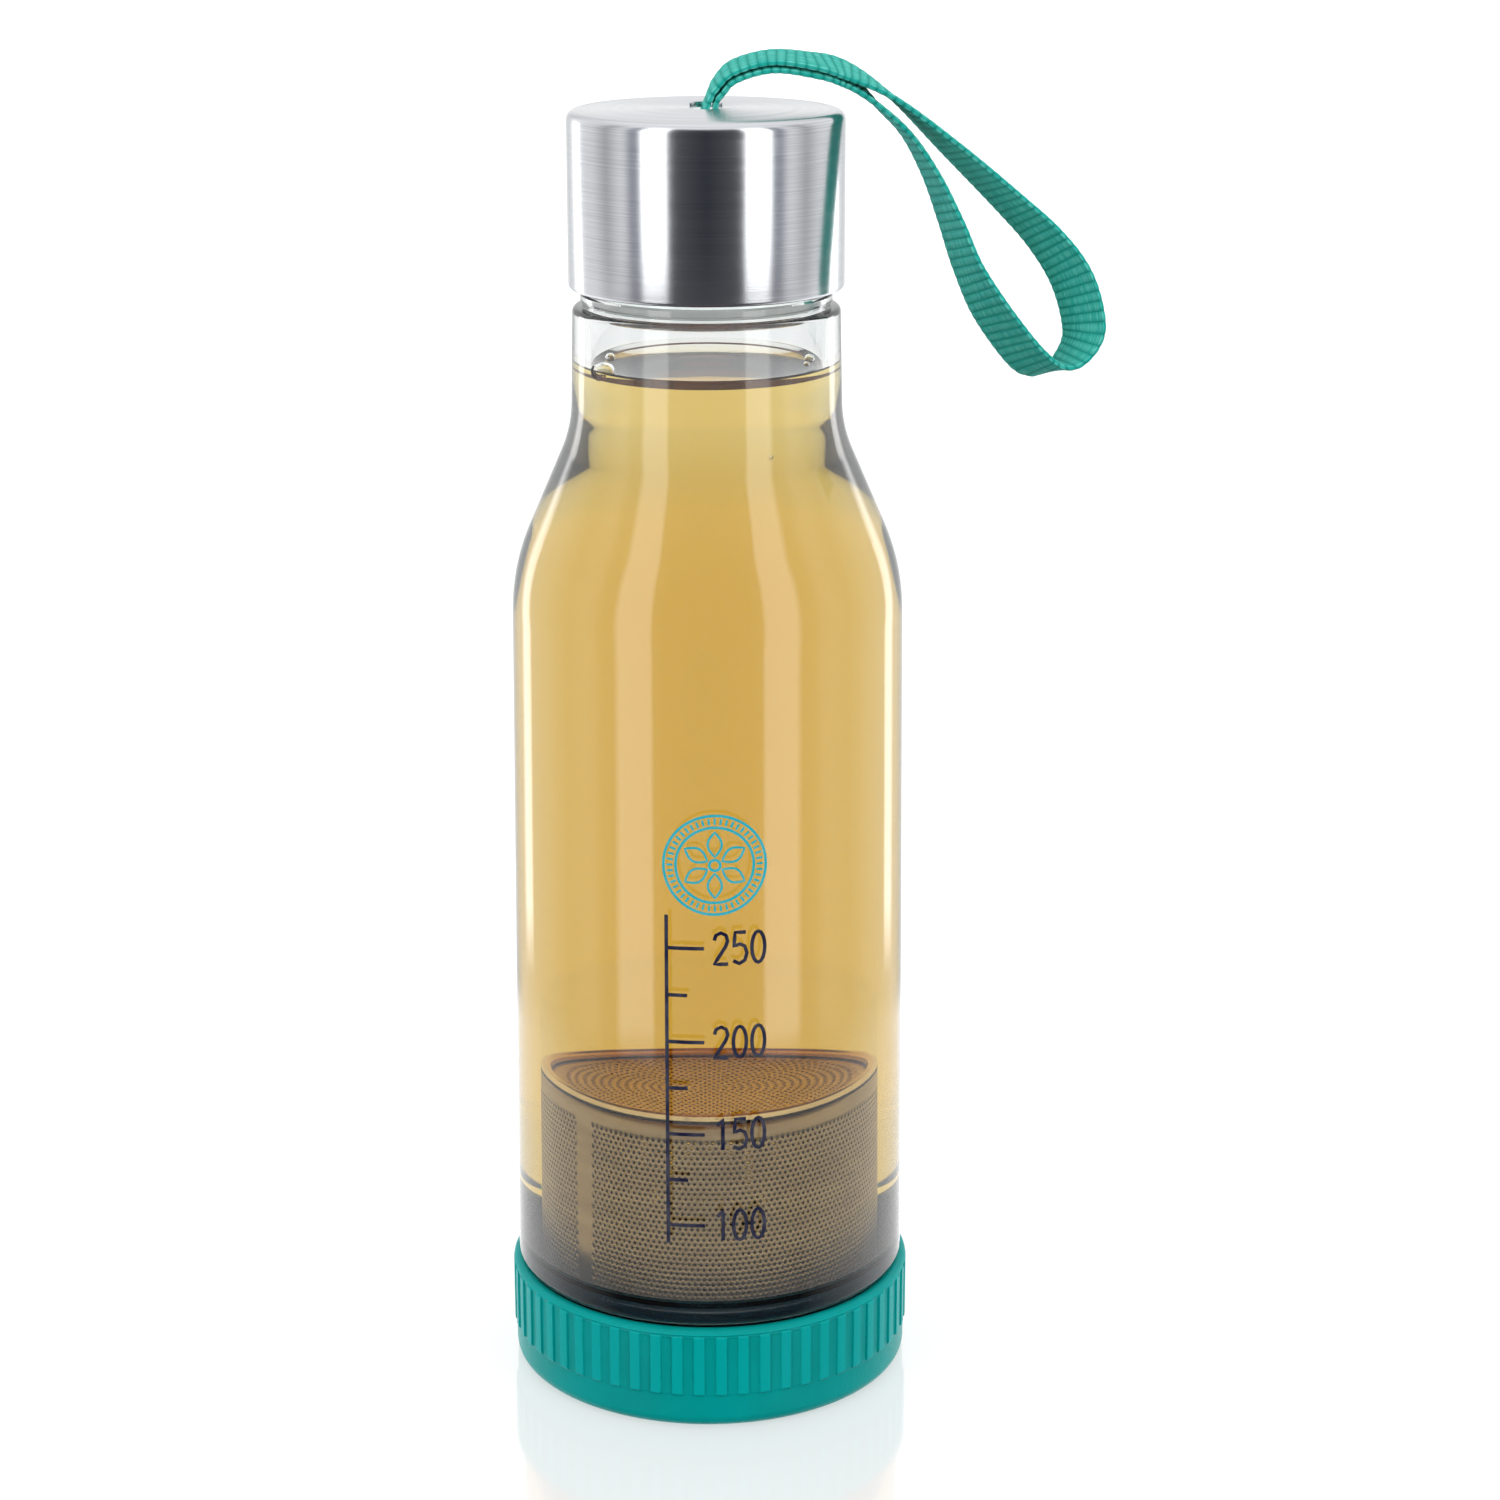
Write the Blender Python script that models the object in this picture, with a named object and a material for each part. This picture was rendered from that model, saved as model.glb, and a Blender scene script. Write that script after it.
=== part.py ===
"""Tea infuser bottle: a clear bottle open at both ends, a ribbed base cap with a perforated infuser on it,
and a steel lid with a wrist strap. Metres, +Z up, origin where the bottle's axis meets the surface below."""

import math

import bmesh
import bpy
from mathutils import Vector

# Fits and clearances
GAP = 0.0003
CUT_OVERRUN = 0.001
RIDGE_ROOT = 0.0003
THREAD_PLAY = 0.0004
MERGE = 0.00001

# Base cap
CAP_HEIGHT = 0.0183
CAP_FLOOR = 0.003
CAP_WALL = 0.00225
CAP_LIP_FILLET = 0.0013
CAP_CORNER_FILLET = 0.0022
CAP_BORE_FILLET = 0.0006
CAP_PROUD = 0.00065
RIB_COUNT = 58
RIB_PROUD = 0.0004
RIB_GAP_DEPTH = 0.00033
RIB_FOOT = 0.0063
REST_GROOVE_INSET = 0.01095
REST_GROOVE_WIDTH = 0.0015
REST_GROOVE_DEPTH = 0.0005
GASKET_THICKNESS = 0.0015

# Bottle
BODY_HEIGHT = 0.2136
BODY_FOOT_RADIUS = 0.0338
BODY_TOP_RADIUS = 0.0327
BODY_WALL = 0.0022
BODY_FOOT_FILLET = 0.0012
SHOULDER_HEIGHT = 0.0236
SHOULDER_TOP_BEND = 0.012
SHOULDER_FOOT_BEND = 0.018
NECK_HEIGHT = 0.0201
NECK_TOP_RADIUS = 0.02206
NECK_SPREAD = 0.00044
NECK_FILLET = 0.0008
NECK_WALL = 0.00286
MOUTH_HEIGHT = 0.0271
MOUTH_WALL = 0.0012
MOUTH_FILLET = 0.0004
BEAD_PROUD = 0.00033
BEAD_HEIGHT = 0.0018
FOOT_WALL = 0.0018
FOOT_STEP = 0.002
FOOT_FILLET = 0.0004

# Threads
THREAD_STARTS = 2
FOOT_THREAD_DEPTH = 0.0008
FOOT_THREAD_LEAD = 0.012
FOOT_THREAD_WIDTH = 0.0016
FOOT_THREAD_RISE = 0.0034
LID_THREAD_DEPTH = 0.0006
LID_THREAD_PLAY = 0.0003
LID_THREAD_LEAD = 0.0095
LID_THREAD_TURNS = 0.75
LID_THREAD_WIDTH = 0.0013
LID_THREAD_RISE = 0.0095
THREAD_CREST_SHARE = 0.5
THREAD_FADE_SHARE = 0.14
THREAD_END_SHARE = 0.2
THREAD_PHASE_SHARE = 0.37

# Infuser
INFUSER_INSET = 0.00575
INFUSER_HEIGHT = 0.0454
INFUSER_SHEET = 0.0005
INFUSER_COLUMNS = 20
INFUSER_SEAM_COLUMN = 11
INFUSER_ROWS = 6
HOLE_RIM_SHARE = 0.22
RIM_BEAD = 0.0014
TOP_HOLE_RINGS = 3
TOP_HOLES_PER_RING = 6
TOP_HOLE_RADIUS = 0.0015
TOP_HOLE_SIDES = 6
SLEEVE_WALL = 0.0005
SLEEVE_HEIGHT = 0.004
FLANGE_THICKNESS = 0.0011
COLLAR_WALL = 0.0014
COLLAR_PLAY = 0.001
COLLAR_HEIGHT = 0.0207
COLLAR_FILLET = 0.00045
LEDGE_WIDTH = 0.003
LEDGE_THICKNESS = 0.0027
FLANGE_FILLET = 0.0003

# Lid
LID_HEADROOM = 0.0046
LID_LIFT = 0.0031
LID_DOME = 0.0004
LID_SHEET = 0.00045
LID_TOP_SHEET = 0.0006
LID_TOP_FILLET = 0.0014
HEM_WIDTH = 0.0007
HEM_FILLET = 0.0003
LID_FOOT_FILLET = 0.0006
LINER_WALL = 0.0006
PLUG_WALL = 0.0017
PLUG_PLAY = 0.0006
PLUG_DEPTH = 0.0272
PLUG_FILLET = 0.0003
LID_SEAL_THICKNESS = 0.0007
LID_SEAL_OVERHANG = 0.0005
PLUG_SEAL_THICKNESS = 0.0007
PLUG_SEAL_HEIGHT = 0.0014
PLUG_SEAL_RISE = 0.0005

# Strap and its slot
STRAP_WIDTH = 0.01
STRAP_THICKNESS = 0.001
STRAP_REACH = 0.066
STRAP_STEPS = 4
PIN_RADIUS = 0.001
PIN_ENDS = 0.006
PIN_SIDES = 12
PIN_WRAP_STEPS = 4
PIN_DROP = 0.0043
SLOT_PLAY = 0.003
SLOT_OFFSET = 0.003
SLOT_END_STEPS = 5
POCKET_PLAY = 0.002
POCKET_CLEARANCE = 0.0006
POCKET_FLOOR = 0.0013

# Sides of the turned pieces
OUTER_SIDES = 40
INNER_SIDES = 36
FILLET_STEPS = 2
BEND_STEPS = 5
SHARP_ANGLE = math.radians(35)
SCREEN_GAMMA = 2.2

# Heights and radii that follow from the sizes above
FOOT_BOTTOM = CAP_FLOOR + GAP + GASKET_THICKNESS + GAP
FOOT_TOP = CAP_HEIGHT + GAP
NECK_TOP = BODY_HEIGHT - MOUTH_HEIGHT
SHOULDER_TOP = NECK_TOP - NECK_HEIGHT
SHOULDER_FOOT = SHOULDER_TOP - SHOULDER_HEIGHT
CAP_BAND_RADIUS = BODY_FOOT_RADIUS + CAP_PROUD
CAP_RIB_RADIUS = CAP_BAND_RADIUS + RIB_PROUD
CAP_BORE = CAP_RIB_RADIUS - CAP_WALL
RIB_TOP = CAP_HEIGHT - CAP_LIP_FILLET
REST_GROOVE_RADIUS = CAP_BAND_RADIUS - REST_GROOVE_INSET
FOOT_ROOT = CAP_BORE - THREAD_PLAY - FOOT_THREAD_DEPTH
FOOT_BORE = FOOT_ROOT - FOOT_WALL
CAP_THREAD_FOOT = FOOT_BOTTOM + FOOT_THREAD_RISE + FOOT_THREAD_WIDTH + GAP
FOOT_THREAD_TURNS = (RIB_TOP - CAP_THREAD_FOOT) / FOOT_THREAD_LEAD
NECK_FOOT_RADIUS = NECK_TOP_RADIUS + NECK_SPREAD
NECK_BORE = NECK_TOP_RADIUS - NECK_WALL
MOUTH_ROOT = NECK_BORE + MOUTH_WALL
COLLAR_RADIUS = FOOT_BORE - COLLAR_PLAY
COLLAR_BORE = COLLAR_RADIUS - COLLAR_WALL
COLLAR_FOOT = CAP_FLOOR + GAP
INFUSER_RADIUS = COLLAR_BORE - INFUSER_INSET
INFUSER_FOOT = COLLAR_FOOT + LEDGE_THICKNESS + GAP
WALL_TOP = INFUSER_FOOT + INFUSER_HEIGHT
LID_FOOT = NECK_TOP + LID_LIFT
LID_EDGE = BODY_HEIGHT + LID_HEADROOM
LID_CEILING = LID_EDGE - LID_TOP_SHEET
LINER_TOP = LID_CEILING - GAP
LINER_BORE = MOUTH_ROOT + LID_THREAD_DEPTH + LID_THREAD_PLAY
LINER_RADIUS = LINER_BORE + LINER_WALL
LID_RADIUS = LINER_RADIUS + GAP + LID_SHEET
LINER_FOOT = LID_FOOT + LID_TOP_SHEET + GAP
LINER_CEILING = BODY_HEIGHT + GAP + LID_SEAL_THICKNESS + GAP
PLUG_RADIUS = NECK_BORE - PLUG_PLAY
PLUG_FOOT = BODY_HEIGHT - PLUG_DEPTH
PLUG_SEAL_RADIUS = NECK_BORE - GAP
PLUG_GROOVE_RADIUS = PLUG_SEAL_RADIUS - PLUG_SEAL_THICKNESS - GAP
PIN_HEIGHT = LID_CEILING - PIN_DROP
PIN_LENGTH = STRAP_WIDTH + PIN_ENDS
STRAP_WRAP = PIN_RADIUS + GAP + STRAP_THICKNESS / 2
SLOT_WIDTH = (STRAP_WRAP + STRAP_THICKNESS / 2 + GAP) * 2
SLOT_LENGTH = STRAP_WIDTH + SLOT_PLAY
POCKET_WIDTH = SLOT_WIDTH + POCKET_PLAY
POCKET_BOTTOM = PIN_HEIGHT - STRAP_WRAP - STRAP_THICKNESS / 2 - GAP
CORE_BOTTOM = POCKET_BOTTOM - POCKET_FLOOR

# The strap's upper ply from the slot over the lid, then its hanging loop, seen from the front. Each row
# holds across, away and up from the slot's centre on the lid's top, then the way that the ribbon's width
# runs.
STRAP_ARC_SHARES = (
    (0.006, 0.0, 0.012, 0.0, 1.0, 0.05),
    (0.027, 0.0, 0.053, 0.0, 1.0, 0.10),
    (0.068, 0.0, 0.091, 0.0, 1.0, 0.11),
    (0.158, 0.0, 0.115, 0.0, 1.0, 0.10),
    (0.256, 0.0, 0.107, 0.0, 1.0, 0.13),
    (0.348, 0.015, 0.081, 0.0, 1.0, 0.17),
)
STRAP_LOOP_SHARES = (
    (0.467, 0.019, 0.012, 0.0, 1.0, -0.09),
    (0.613, 0.045, -0.115, -0.20, 0.98, -0.25),
    (0.757, 0.075, -0.248, -0.35, 0.87, -0.30),
    (0.854, 0.085, -0.345, -0.50, 0.80, -0.30),
    (0.921, 0.078, -0.442, -0.60, 0.74, -0.28),
    (0.952, 0.065, -0.545, -0.62, 0.74, -0.26),
    (0.944, 0.055, -0.604, -0.62, 0.74, -0.26),
    (0.901, 0.040, -0.653, -0.62, 0.74, -0.26),
    (0.850, 0.025, -0.661, -0.62, 0.74, -0.26),
    (0.798, 0.010, -0.623, -0.60, 0.76, -0.26),
    (0.712, -0.010, -0.509, -0.55, 0.80, -0.22),
    (0.653, -0.005, -0.402, -0.42, 0.90, -0.12),
    (0.609, 0.005, -0.289, -0.35, 0.95, -0.05),
    (0.560, 0.012, -0.177, -0.25, 1.0, -0.02),
    (0.500, 0.015, -0.078, -0.12, 1.0, -0.05),
    (0.431, 0.012, -0.009, 0.0, 1.0, -0.09),
)


def clear_scene():
    for leftover in list(bpy.data.objects):
        bpy.data.objects.remove(leftover, do_unlink=True)


def linear(red, green, blue):
    """A colour of 0 to 255 in each channel, as the light that the shader counts in."""
    return tuple((value / 255) ** SCREEN_GAMMA for value in (red, green, blue))


def make_material(name, colour, roughness, metallic=0.0, alpha=1.0, transmission=0.0):
    made = bpy.data.materials.new(name)
    made.use_nodes = True
    made.diffuse_color = (*colour, alpha)
    shader = made.node_tree.nodes["Principled BSDF"]
    shader.inputs["Base Color"].default_value = (*colour, 1.0)
    shader.inputs["Roughness"].default_value = roughness
    shader.inputs["Metallic"].default_value = metallic
    shader.inputs["Alpha"].default_value = alpha
    shader.inputs["Transmission Weight"].default_value = transmission
    return made


def add_object(name, mesh):
    made = bpy.data.objects.new(name, mesh)
    bpy.context.scene.collection.objects.link(made)
    return made


def add_cutter(name, mesh):
    """A helper that shapes another piece and isn't a piece itself."""
    made = add_object(name, mesh)
    made.hide_render = True
    made.display_type = "WIRE"
    return made


def bake(piece):
    """Replaces a piece's mesh with what its modifiers make of it."""
    graph = bpy.context.evaluated_depsgraph_get()
    shaped = bpy.data.meshes.new_from_object(piece.evaluated_get(graph))
    piece.modifiers.clear()
    piece.data = shaped
    shaped.name = piece.name


def finish(piece, material):
    """Gives a piece its material, and smooth shading with crisp edges."""
    piece.data.materials.clear()
    piece.data.materials.append(material)
    piece.data.shade_smooth()
    piece.data.set_sharp_from_angle(angle=SHARP_ANGLE)
    return piece


def combine(piece, helper, operation):
    """Cuts the helper from a piece, or joins it on, and removes the helper."""
    boolean = piece.modifiers.new(operation.lower(), "BOOLEAN")
    boolean.operation = operation
    boolean.solver = "EXACT"
    boolean.object = helper
    bake(piece)
    bpy.data.objects.remove(helper, do_unlink=True)
    return piece


def rounded(corners):
    """The outline through corners of radius, height and fillet, with each fillet drawn as an arc."""
    outline = []
    for index, (radius, height, fillet, *steps) in enumerate(corners):
        corner = Vector((radius, height))
        if not fillet:
            outline.append(corner)
            continue
        back = (Vector(corners[index - 1][:2]) - corner).normalized()
        ahead = (Vector(corners[(index + 1) % len(corners)][:2]) - corner).normalized()
        half = back.angle(ahead) / 2
        centre = corner + (back + ahead).normalized() * fillet / math.sin(half)
        first = (corner + back * fillet / math.tan(half) - centre).normalized()
        last = (corner + ahead * fillet / math.tan(half) - centre).normalized()
        count = steps[0] if steps else FILLET_STEPS
        for step in range(count + 1):
            outline.append(centre + first.slerp(last, step / count) * fillet)
    return outline


def turned(name, outline, sides):
    """A piece turned on the bottle's axis. The outline runs down its outer side. It closes on itself, or it
    is open along the axis where two of its points lie there."""
    solid = any(point.x == 0 for point in outline)
    if solid:
        foot = next(index for index, point in enumerate(outline) if point.x == 0)
        outline = outline[foot + 1:] + outline[:foot + 1]
    points = [(point.x, 0, point.y) for point in outline]
    edges = [(index, index + 1) for index in range(len(points) - 1)]
    if not solid:
        edges.append((len(points) - 1, 0))
    mesh = bpy.data.meshes.new(name)
    mesh.from_pydata(points, edges, [])
    piece = add_object(name, mesh)
    lathe = piece.modifiers.new("lathe", "SCREW")
    lathe.axis = "Z"
    lathe.angle = math.tau
    lathe.steps = sides
    lathe.render_steps = sides
    lathe.use_merge_vertices = True
    lathe.merge_threshold = MERGE
    bake(piece)
    return piece


def loft(name, sections, closed):
    """A skin through sections of equal point counts. It has end faces unless it closes on itself."""
    shape = bmesh.new()
    rings = [[shape.verts.new(point) for point in section] for section in sections]
    pairs = list(zip(rings, rings[1:]))
    if closed:
        pairs.append((rings[-1], rings[0]))
    for ring, following in pairs:
        for index, corner in enumerate(ring):
            after = (index + 1) % len(ring)
            shape.faces.new((corner, ring[after], following[after], following[index]))
    if not closed:
        shape.faces.new(rings[0])
        shape.faces.new(rings[-1])
    bmesh.ops.recalc_face_normals(shape, faces=shape.faces)
    mesh = bpy.data.meshes.new(name)
    shape.to_mesh(mesh)
    shape.free()
    return mesh


def prism(section, bottom, top):
    """The two ends of an upright prism, for a loft."""
    return [[Vector((x, y, height)) for x, y in section] for height in (bottom, top)]


def box_section(width, length, offset=0):
    """A rectangle across the slot's line, moved along it by an offset."""
    across = width / 2
    along = length / 2
    near = offset - along
    far = offset + along
    return [(-across, near), (across, near), (across, far), (-across, far)]


def slot_section(width, length, offset, steps):
    """A straight slot with round ends, whose length runs away from the front."""
    radius = width / 2
    straight = length / 2 - radius
    points = []
    for end in (1, -1):
        for step in range(steps + 1):
            angle = math.pi * step / steps
            along = straight + radius * math.sin(angle)
            points.append((end * radius * math.cos(angle), offset + end * along))
    return points


def joined_meshes(name, meshes):
    """One mesh that holds several separate bodies."""
    shape = bmesh.new()
    for mesh in meshes:
        shape.from_mesh(mesh)
        bpy.data.meshes.remove(mesh)
    mesh = bpy.data.meshes.new(name)
    shape.to_mesh(mesh)
    shape.free()
    return mesh


def add_thread(piece, wall, depth, width, height, lead, turns, sides, inside=False):
    """Joins right-hand ridges to a piece's wall, outside it or in its bore. They fade out at both ends."""
    out = -1 if inside else 1
    root = wall - out * RIDGE_ROOT
    crest = wall + out * depth
    half = width / 2
    steps = round(turns * sides)
    ridges = []
    for start in range(THREAD_STARTS):
        sections = []
        for step in range(steps + 1):
            share = step / steps
            fade = min(1, share / THREAD_FADE_SHARE, (1 - share) / THREAD_FADE_SHARE)
            tip = root + (crest - root) * (THREAD_END_SHARE + (1 - THREAD_END_SHARE) * fade)
            angle = math.tau * ((step + THREAD_PHASE_SHARE) / sides + start / THREAD_STARTS)
            centre = height + lead * turns * share
            section = []
            for radius, rise in ((root, -half), (tip, -half * THREAD_CREST_SHARE),
                                 (tip, half * THREAD_CREST_SHARE), (root, half)):
                section.append((radius * math.cos(angle), radius * math.sin(angle), centre + rise))
            sections.append(section)
        ridges.append(loft("ridge", sections, closed=False))
    return combine(piece, add_cutter("thread", joined_meshes("thread", ridges)), "UNION")


def base_cap(material):
    """A cup with a smooth foot band and raised ribs that run into the lip."""
    groove_edge = REST_GROOVE_RADIUS + REST_GROOVE_WIDTH
    outline = rounded([
        (CAP_RIB_RADIUS, CAP_HEIGHT, CAP_LIP_FILLET, 3),
        (CAP_RIB_RADIUS, RIB_FOOT, 0),
        (CAP_BAND_RADIUS, RIB_FOOT, 0),
        (CAP_BAND_RADIUS, 0, CAP_CORNER_FILLET, 3),
        (groove_edge, 0, 0),
        (groove_edge, REST_GROOVE_DEPTH, 0),
        (REST_GROOVE_RADIUS, REST_GROOVE_DEPTH, 0),
        (REST_GROOVE_RADIUS, 0, 0),
        (0, 0, 0),
        (0, CAP_FLOOR, 0),
        (CAP_BORE, CAP_FLOOR, CAP_BORE_FILLET, 1),
        (CAP_BORE, CAP_HEIGHT, CAP_BORE_FILLET, 1),
    ])
    cap = turned("base_cap", outline, RIB_COUNT)
    pitch = math.tau / RIB_COUNT
    near = CAP_RIB_RADIUS - RIB_GAP_DEPTH
    far = CAP_RIB_RADIUS + CUT_OVERRUN
    half = near * pitch / 4
    gaps = []
    for index in range(RIB_COUNT):
        angle = (index + 0.5) * pitch
        across = Vector((math.cos(angle), math.sin(angle)))
        along = Vector((-across.y, across.x))
        section = [across * near - along * half, across * far - along * half,
                   across * far + along * half, across * near + along * half]
        gaps.append(loft("rib_gap", prism(section, RIB_FOOT - CUT_OVERRUN, RIB_TOP), closed=False))
    combine(cap, add_cutter("rib_gaps", joined_meshes("rib_gaps", gaps)), "DIFFERENCE")
    add_thread(cap, CAP_BORE, FOOT_THREAD_DEPTH, FOOT_THREAD_WIDTH, CAP_THREAD_FOOT, FOOT_THREAD_LEAD,
               FOOT_THREAD_TURNS, RIB_COUNT, inside=True)
    return finish(cap, material)


def base_gasket(material):
    """The ring that the bottle's foot presses on. It is as wide as the foot, to pass the cap's thread."""
    outline = rounded([
        (FOOT_ROOT, FOOT_BOTTOM - GAP, FLANGE_FILLET, 1),
        (FOOT_ROOT, CAP_FLOOR + GAP, 0),
        (FOOT_BORE - GAP, CAP_FLOOR + GAP, 0),
        (FOOT_BORE - GAP, FOOT_BOTTOM - GAP, FLANGE_FILLET, 1),
    ])
    return finish(turned("base_gasket", outline, INNER_SIDES), material)


def infuser_collar(material):
    """The ring that stands on the cap's floor, with a ledge inside that carries the infuser."""
    top = COLLAR_FOOT + COLLAR_HEIGHT
    ledge = COLLAR_FOOT + LEDGE_THICKNESS
    outline = rounded([
        (COLLAR_RADIUS, top, COLLAR_FILLET, 2),
        (COLLAR_RADIUS, COLLAR_FOOT, 0),
        (COLLAR_BORE - LEDGE_WIDTH, COLLAR_FOOT, 0),
        (COLLAR_BORE - LEDGE_WIDTH, ledge, 0),
        (COLLAR_BORE, ledge, 0),
        (COLLAR_BORE, top, COLLAR_FILLET, 2),
    ])
    return finish(turned("infuser_collar", outline, OUTER_SIDES), material)


def infuser_flange(material):
    """The plastic foot of the infuser: a sleeve round the steel tube on a flat flange."""
    sleeve_bore = INFUSER_RADIUS + GAP
    sleeve = sleeve_bore + SLEEVE_WALL
    outline = rounded([
        (sleeve, INFUSER_FOOT + SLEEVE_HEIGHT, 0),
        (sleeve, INFUSER_FOOT + FLANGE_THICKNESS, 0),
        (COLLAR_BORE - GAP, INFUSER_FOOT + FLANGE_THICKNESS, FLANGE_FILLET, 1),
        (COLLAR_BORE - GAP, INFUSER_FOOT, 0),
        (sleeve_bore, INFUSER_FOOT, 0),
        (sleeve_bore, INFUSER_FOOT + SLEEVE_HEIGHT, 0),
    ])
    return finish(turned("infuser_flange", outline, INNER_SIDES), material)


def infuser_wall(material):
    """A tube of steel sheet with rows of holes. One column without holes is the welded seam."""
    shape = bmesh.new()
    rings = []
    for row in range(INFUSER_ROWS + 1):
        height = INFUSER_FOOT + INFUSER_HEIGHT * row / INFUSER_ROWS
        ring = []
        for column in range(INFUSER_COLUMNS):
            angle = math.tau * column / INFUSER_COLUMNS
            across = INFUSER_RADIUS * math.cos(angle)
            away = INFUSER_RADIUS * math.sin(angle)
            ring.append(shape.verts.new((across, away, height)))
        rings.append(ring)
    holed = []
    for lower, upper in zip(rings, rings[1:]):
        for column in range(INFUSER_COLUMNS):
            after = (column + 1) % INFUSER_COLUMNS
            face = shape.faces.new((lower[column], lower[after], upper[after], upper[column]))
            if column != INFUSER_SEAM_COLUMN:
                holed.append(face)
    shape.normal_update()
    rim = HOLE_RIM_SHARE * INFUSER_HEIGHT / INFUSER_ROWS
    bmesh.ops.inset_individual(shape, faces=holed, thickness=rim)
    bmesh.ops.delete(shape, geom=holed, context="FACES_ONLY")
    mesh = bpy.data.meshes.new("infuser_wall")
    shape.to_mesh(mesh)
    shape.free()
    wall = add_object("infuser_wall", mesh)
    sheet = wall.modifiers.new("sheet", "SOLIDIFY")
    sheet.thickness = INFUSER_SHEET
    sheet.offset = -1
    bake(wall)
    return finish(wall, material)


def infuser_top(material):
    """The perforated disc over the tube, with a rolled rim."""
    foot = WALL_TOP + GAP
    top = foot + RIM_BEAD
    inner = INFUSER_RADIUS - RIM_BEAD
    outline = rounded([
        (INFUSER_RADIUS, top, RIM_BEAD / 2 - MERGE, 2),
        (INFUSER_RADIUS, foot, RIM_BEAD / 4, 1),
        (0, foot, 0),
        (0, foot + INFUSER_SHEET, 0),
        (inner, foot + INFUSER_SHEET, 0),
        (inner, top, RIM_BEAD / 2 - MERGE, 2),
    ])
    disc = turned("infuser_top", outline, INFUSER_COLUMNS * 2)
    pitch = (inner - TOP_HOLE_RADIUS) / (TOP_HOLE_RINGS + 0.5)
    holes = []
    for ring in range(1, TOP_HOLE_RINGS + 1):
        for index in range(ring * TOP_HOLES_PER_RING):
            angle = math.tau * index / (ring * TOP_HOLES_PER_RING)
            centre = Vector((math.cos(angle), math.sin(angle))) * ring * pitch
            section = []
            for side in range(TOP_HOLE_SIDES):
                around = math.tau * side / TOP_HOLE_SIDES + angle
                section.append(centre + Vector((math.cos(around), math.sin(around))) * TOP_HOLE_RADIUS)
            ends = prism(section, foot - CUT_OVERRUN, foot + INFUSER_SHEET + CUT_OVERRUN)
            holes.append(loft("hole", ends, closed=False))
    combine(disc, add_cutter("holes", joined_meshes("holes", holes)), "DIFFERENCE")
    return finish(disc, material)


def bottle_body(material):
    """The clear bottle: threaded foot, slightly tapered body, shoulder, neck and threaded mouth."""
    inner_foot = BODY_FOOT_RADIUS - BODY_WALL
    inner_top = BODY_TOP_RADIUS - BODY_WALL
    bead_foot = NECK_TOP + (LID_LIFT - BEAD_HEIGHT) / 2
    bead = MOUTH_ROOT + BEAD_PROUD
    outline = rounded([
        (MOUTH_ROOT, BODY_HEIGHT, MOUTH_FILLET, 1),
        (MOUTH_ROOT, bead_foot + BEAD_HEIGHT, 0),
        (bead, bead_foot + BEAD_HEIGHT - BEAD_PROUD, 0),
        (bead, bead_foot + BEAD_PROUD, 0),
        (MOUTH_ROOT, bead_foot, 0),
        (MOUTH_ROOT, NECK_TOP, 0),
        (NECK_TOP_RADIUS, NECK_TOP, NECK_FILLET, 3),
        (NECK_FOOT_RADIUS, SHOULDER_TOP, SHOULDER_TOP_BEND, BEND_STEPS),
        (BODY_TOP_RADIUS, SHOULDER_FOOT, SHOULDER_FOOT_BEND, BEND_STEPS),
        (BODY_FOOT_RADIUS, FOOT_TOP, BODY_FOOT_FILLET, 2),
        (FOOT_ROOT, FOOT_TOP, 0),
        (FOOT_ROOT, FOOT_BOTTOM, FOOT_FILLET, 1),
        (FOOT_BORE, FOOT_BOTTOM, FOOT_FILLET, 1),
        (FOOT_BORE, FOOT_TOP + FOOT_STEP, 0),
        (inner_foot, FOOT_TOP + FOOT_STEP + inner_foot - FOOT_BORE, 0),
        (inner_top, SHOULDER_FOOT, SHOULDER_FOOT_BEND - BODY_WALL, BEND_STEPS - 1),
        (NECK_BORE, SHOULDER_TOP - BODY_WALL / 2, SHOULDER_TOP_BEND + BODY_WALL, BEND_STEPS - 1),
        (NECK_BORE, BODY_HEIGHT, MOUTH_FILLET, 1),
    ])
    bottle = turned("bottle_body", outline, OUTER_SIDES)
    add_thread(bottle, FOOT_ROOT, FOOT_THREAD_DEPTH, FOOT_THREAD_WIDTH, FOOT_BOTTOM + FOOT_THREAD_RISE,
               FOOT_THREAD_LEAD, FOOT_THREAD_TURNS, OUTER_SIDES)
    add_thread(bottle, MOUTH_ROOT, LID_THREAD_DEPTH, LID_THREAD_WIDTH, NECK_TOP + LID_THREAD_RISE,
               LID_THREAD_LEAD, LID_THREAD_TURNS, OUTER_SIDES)
    return finish(bottle, material)


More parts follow.
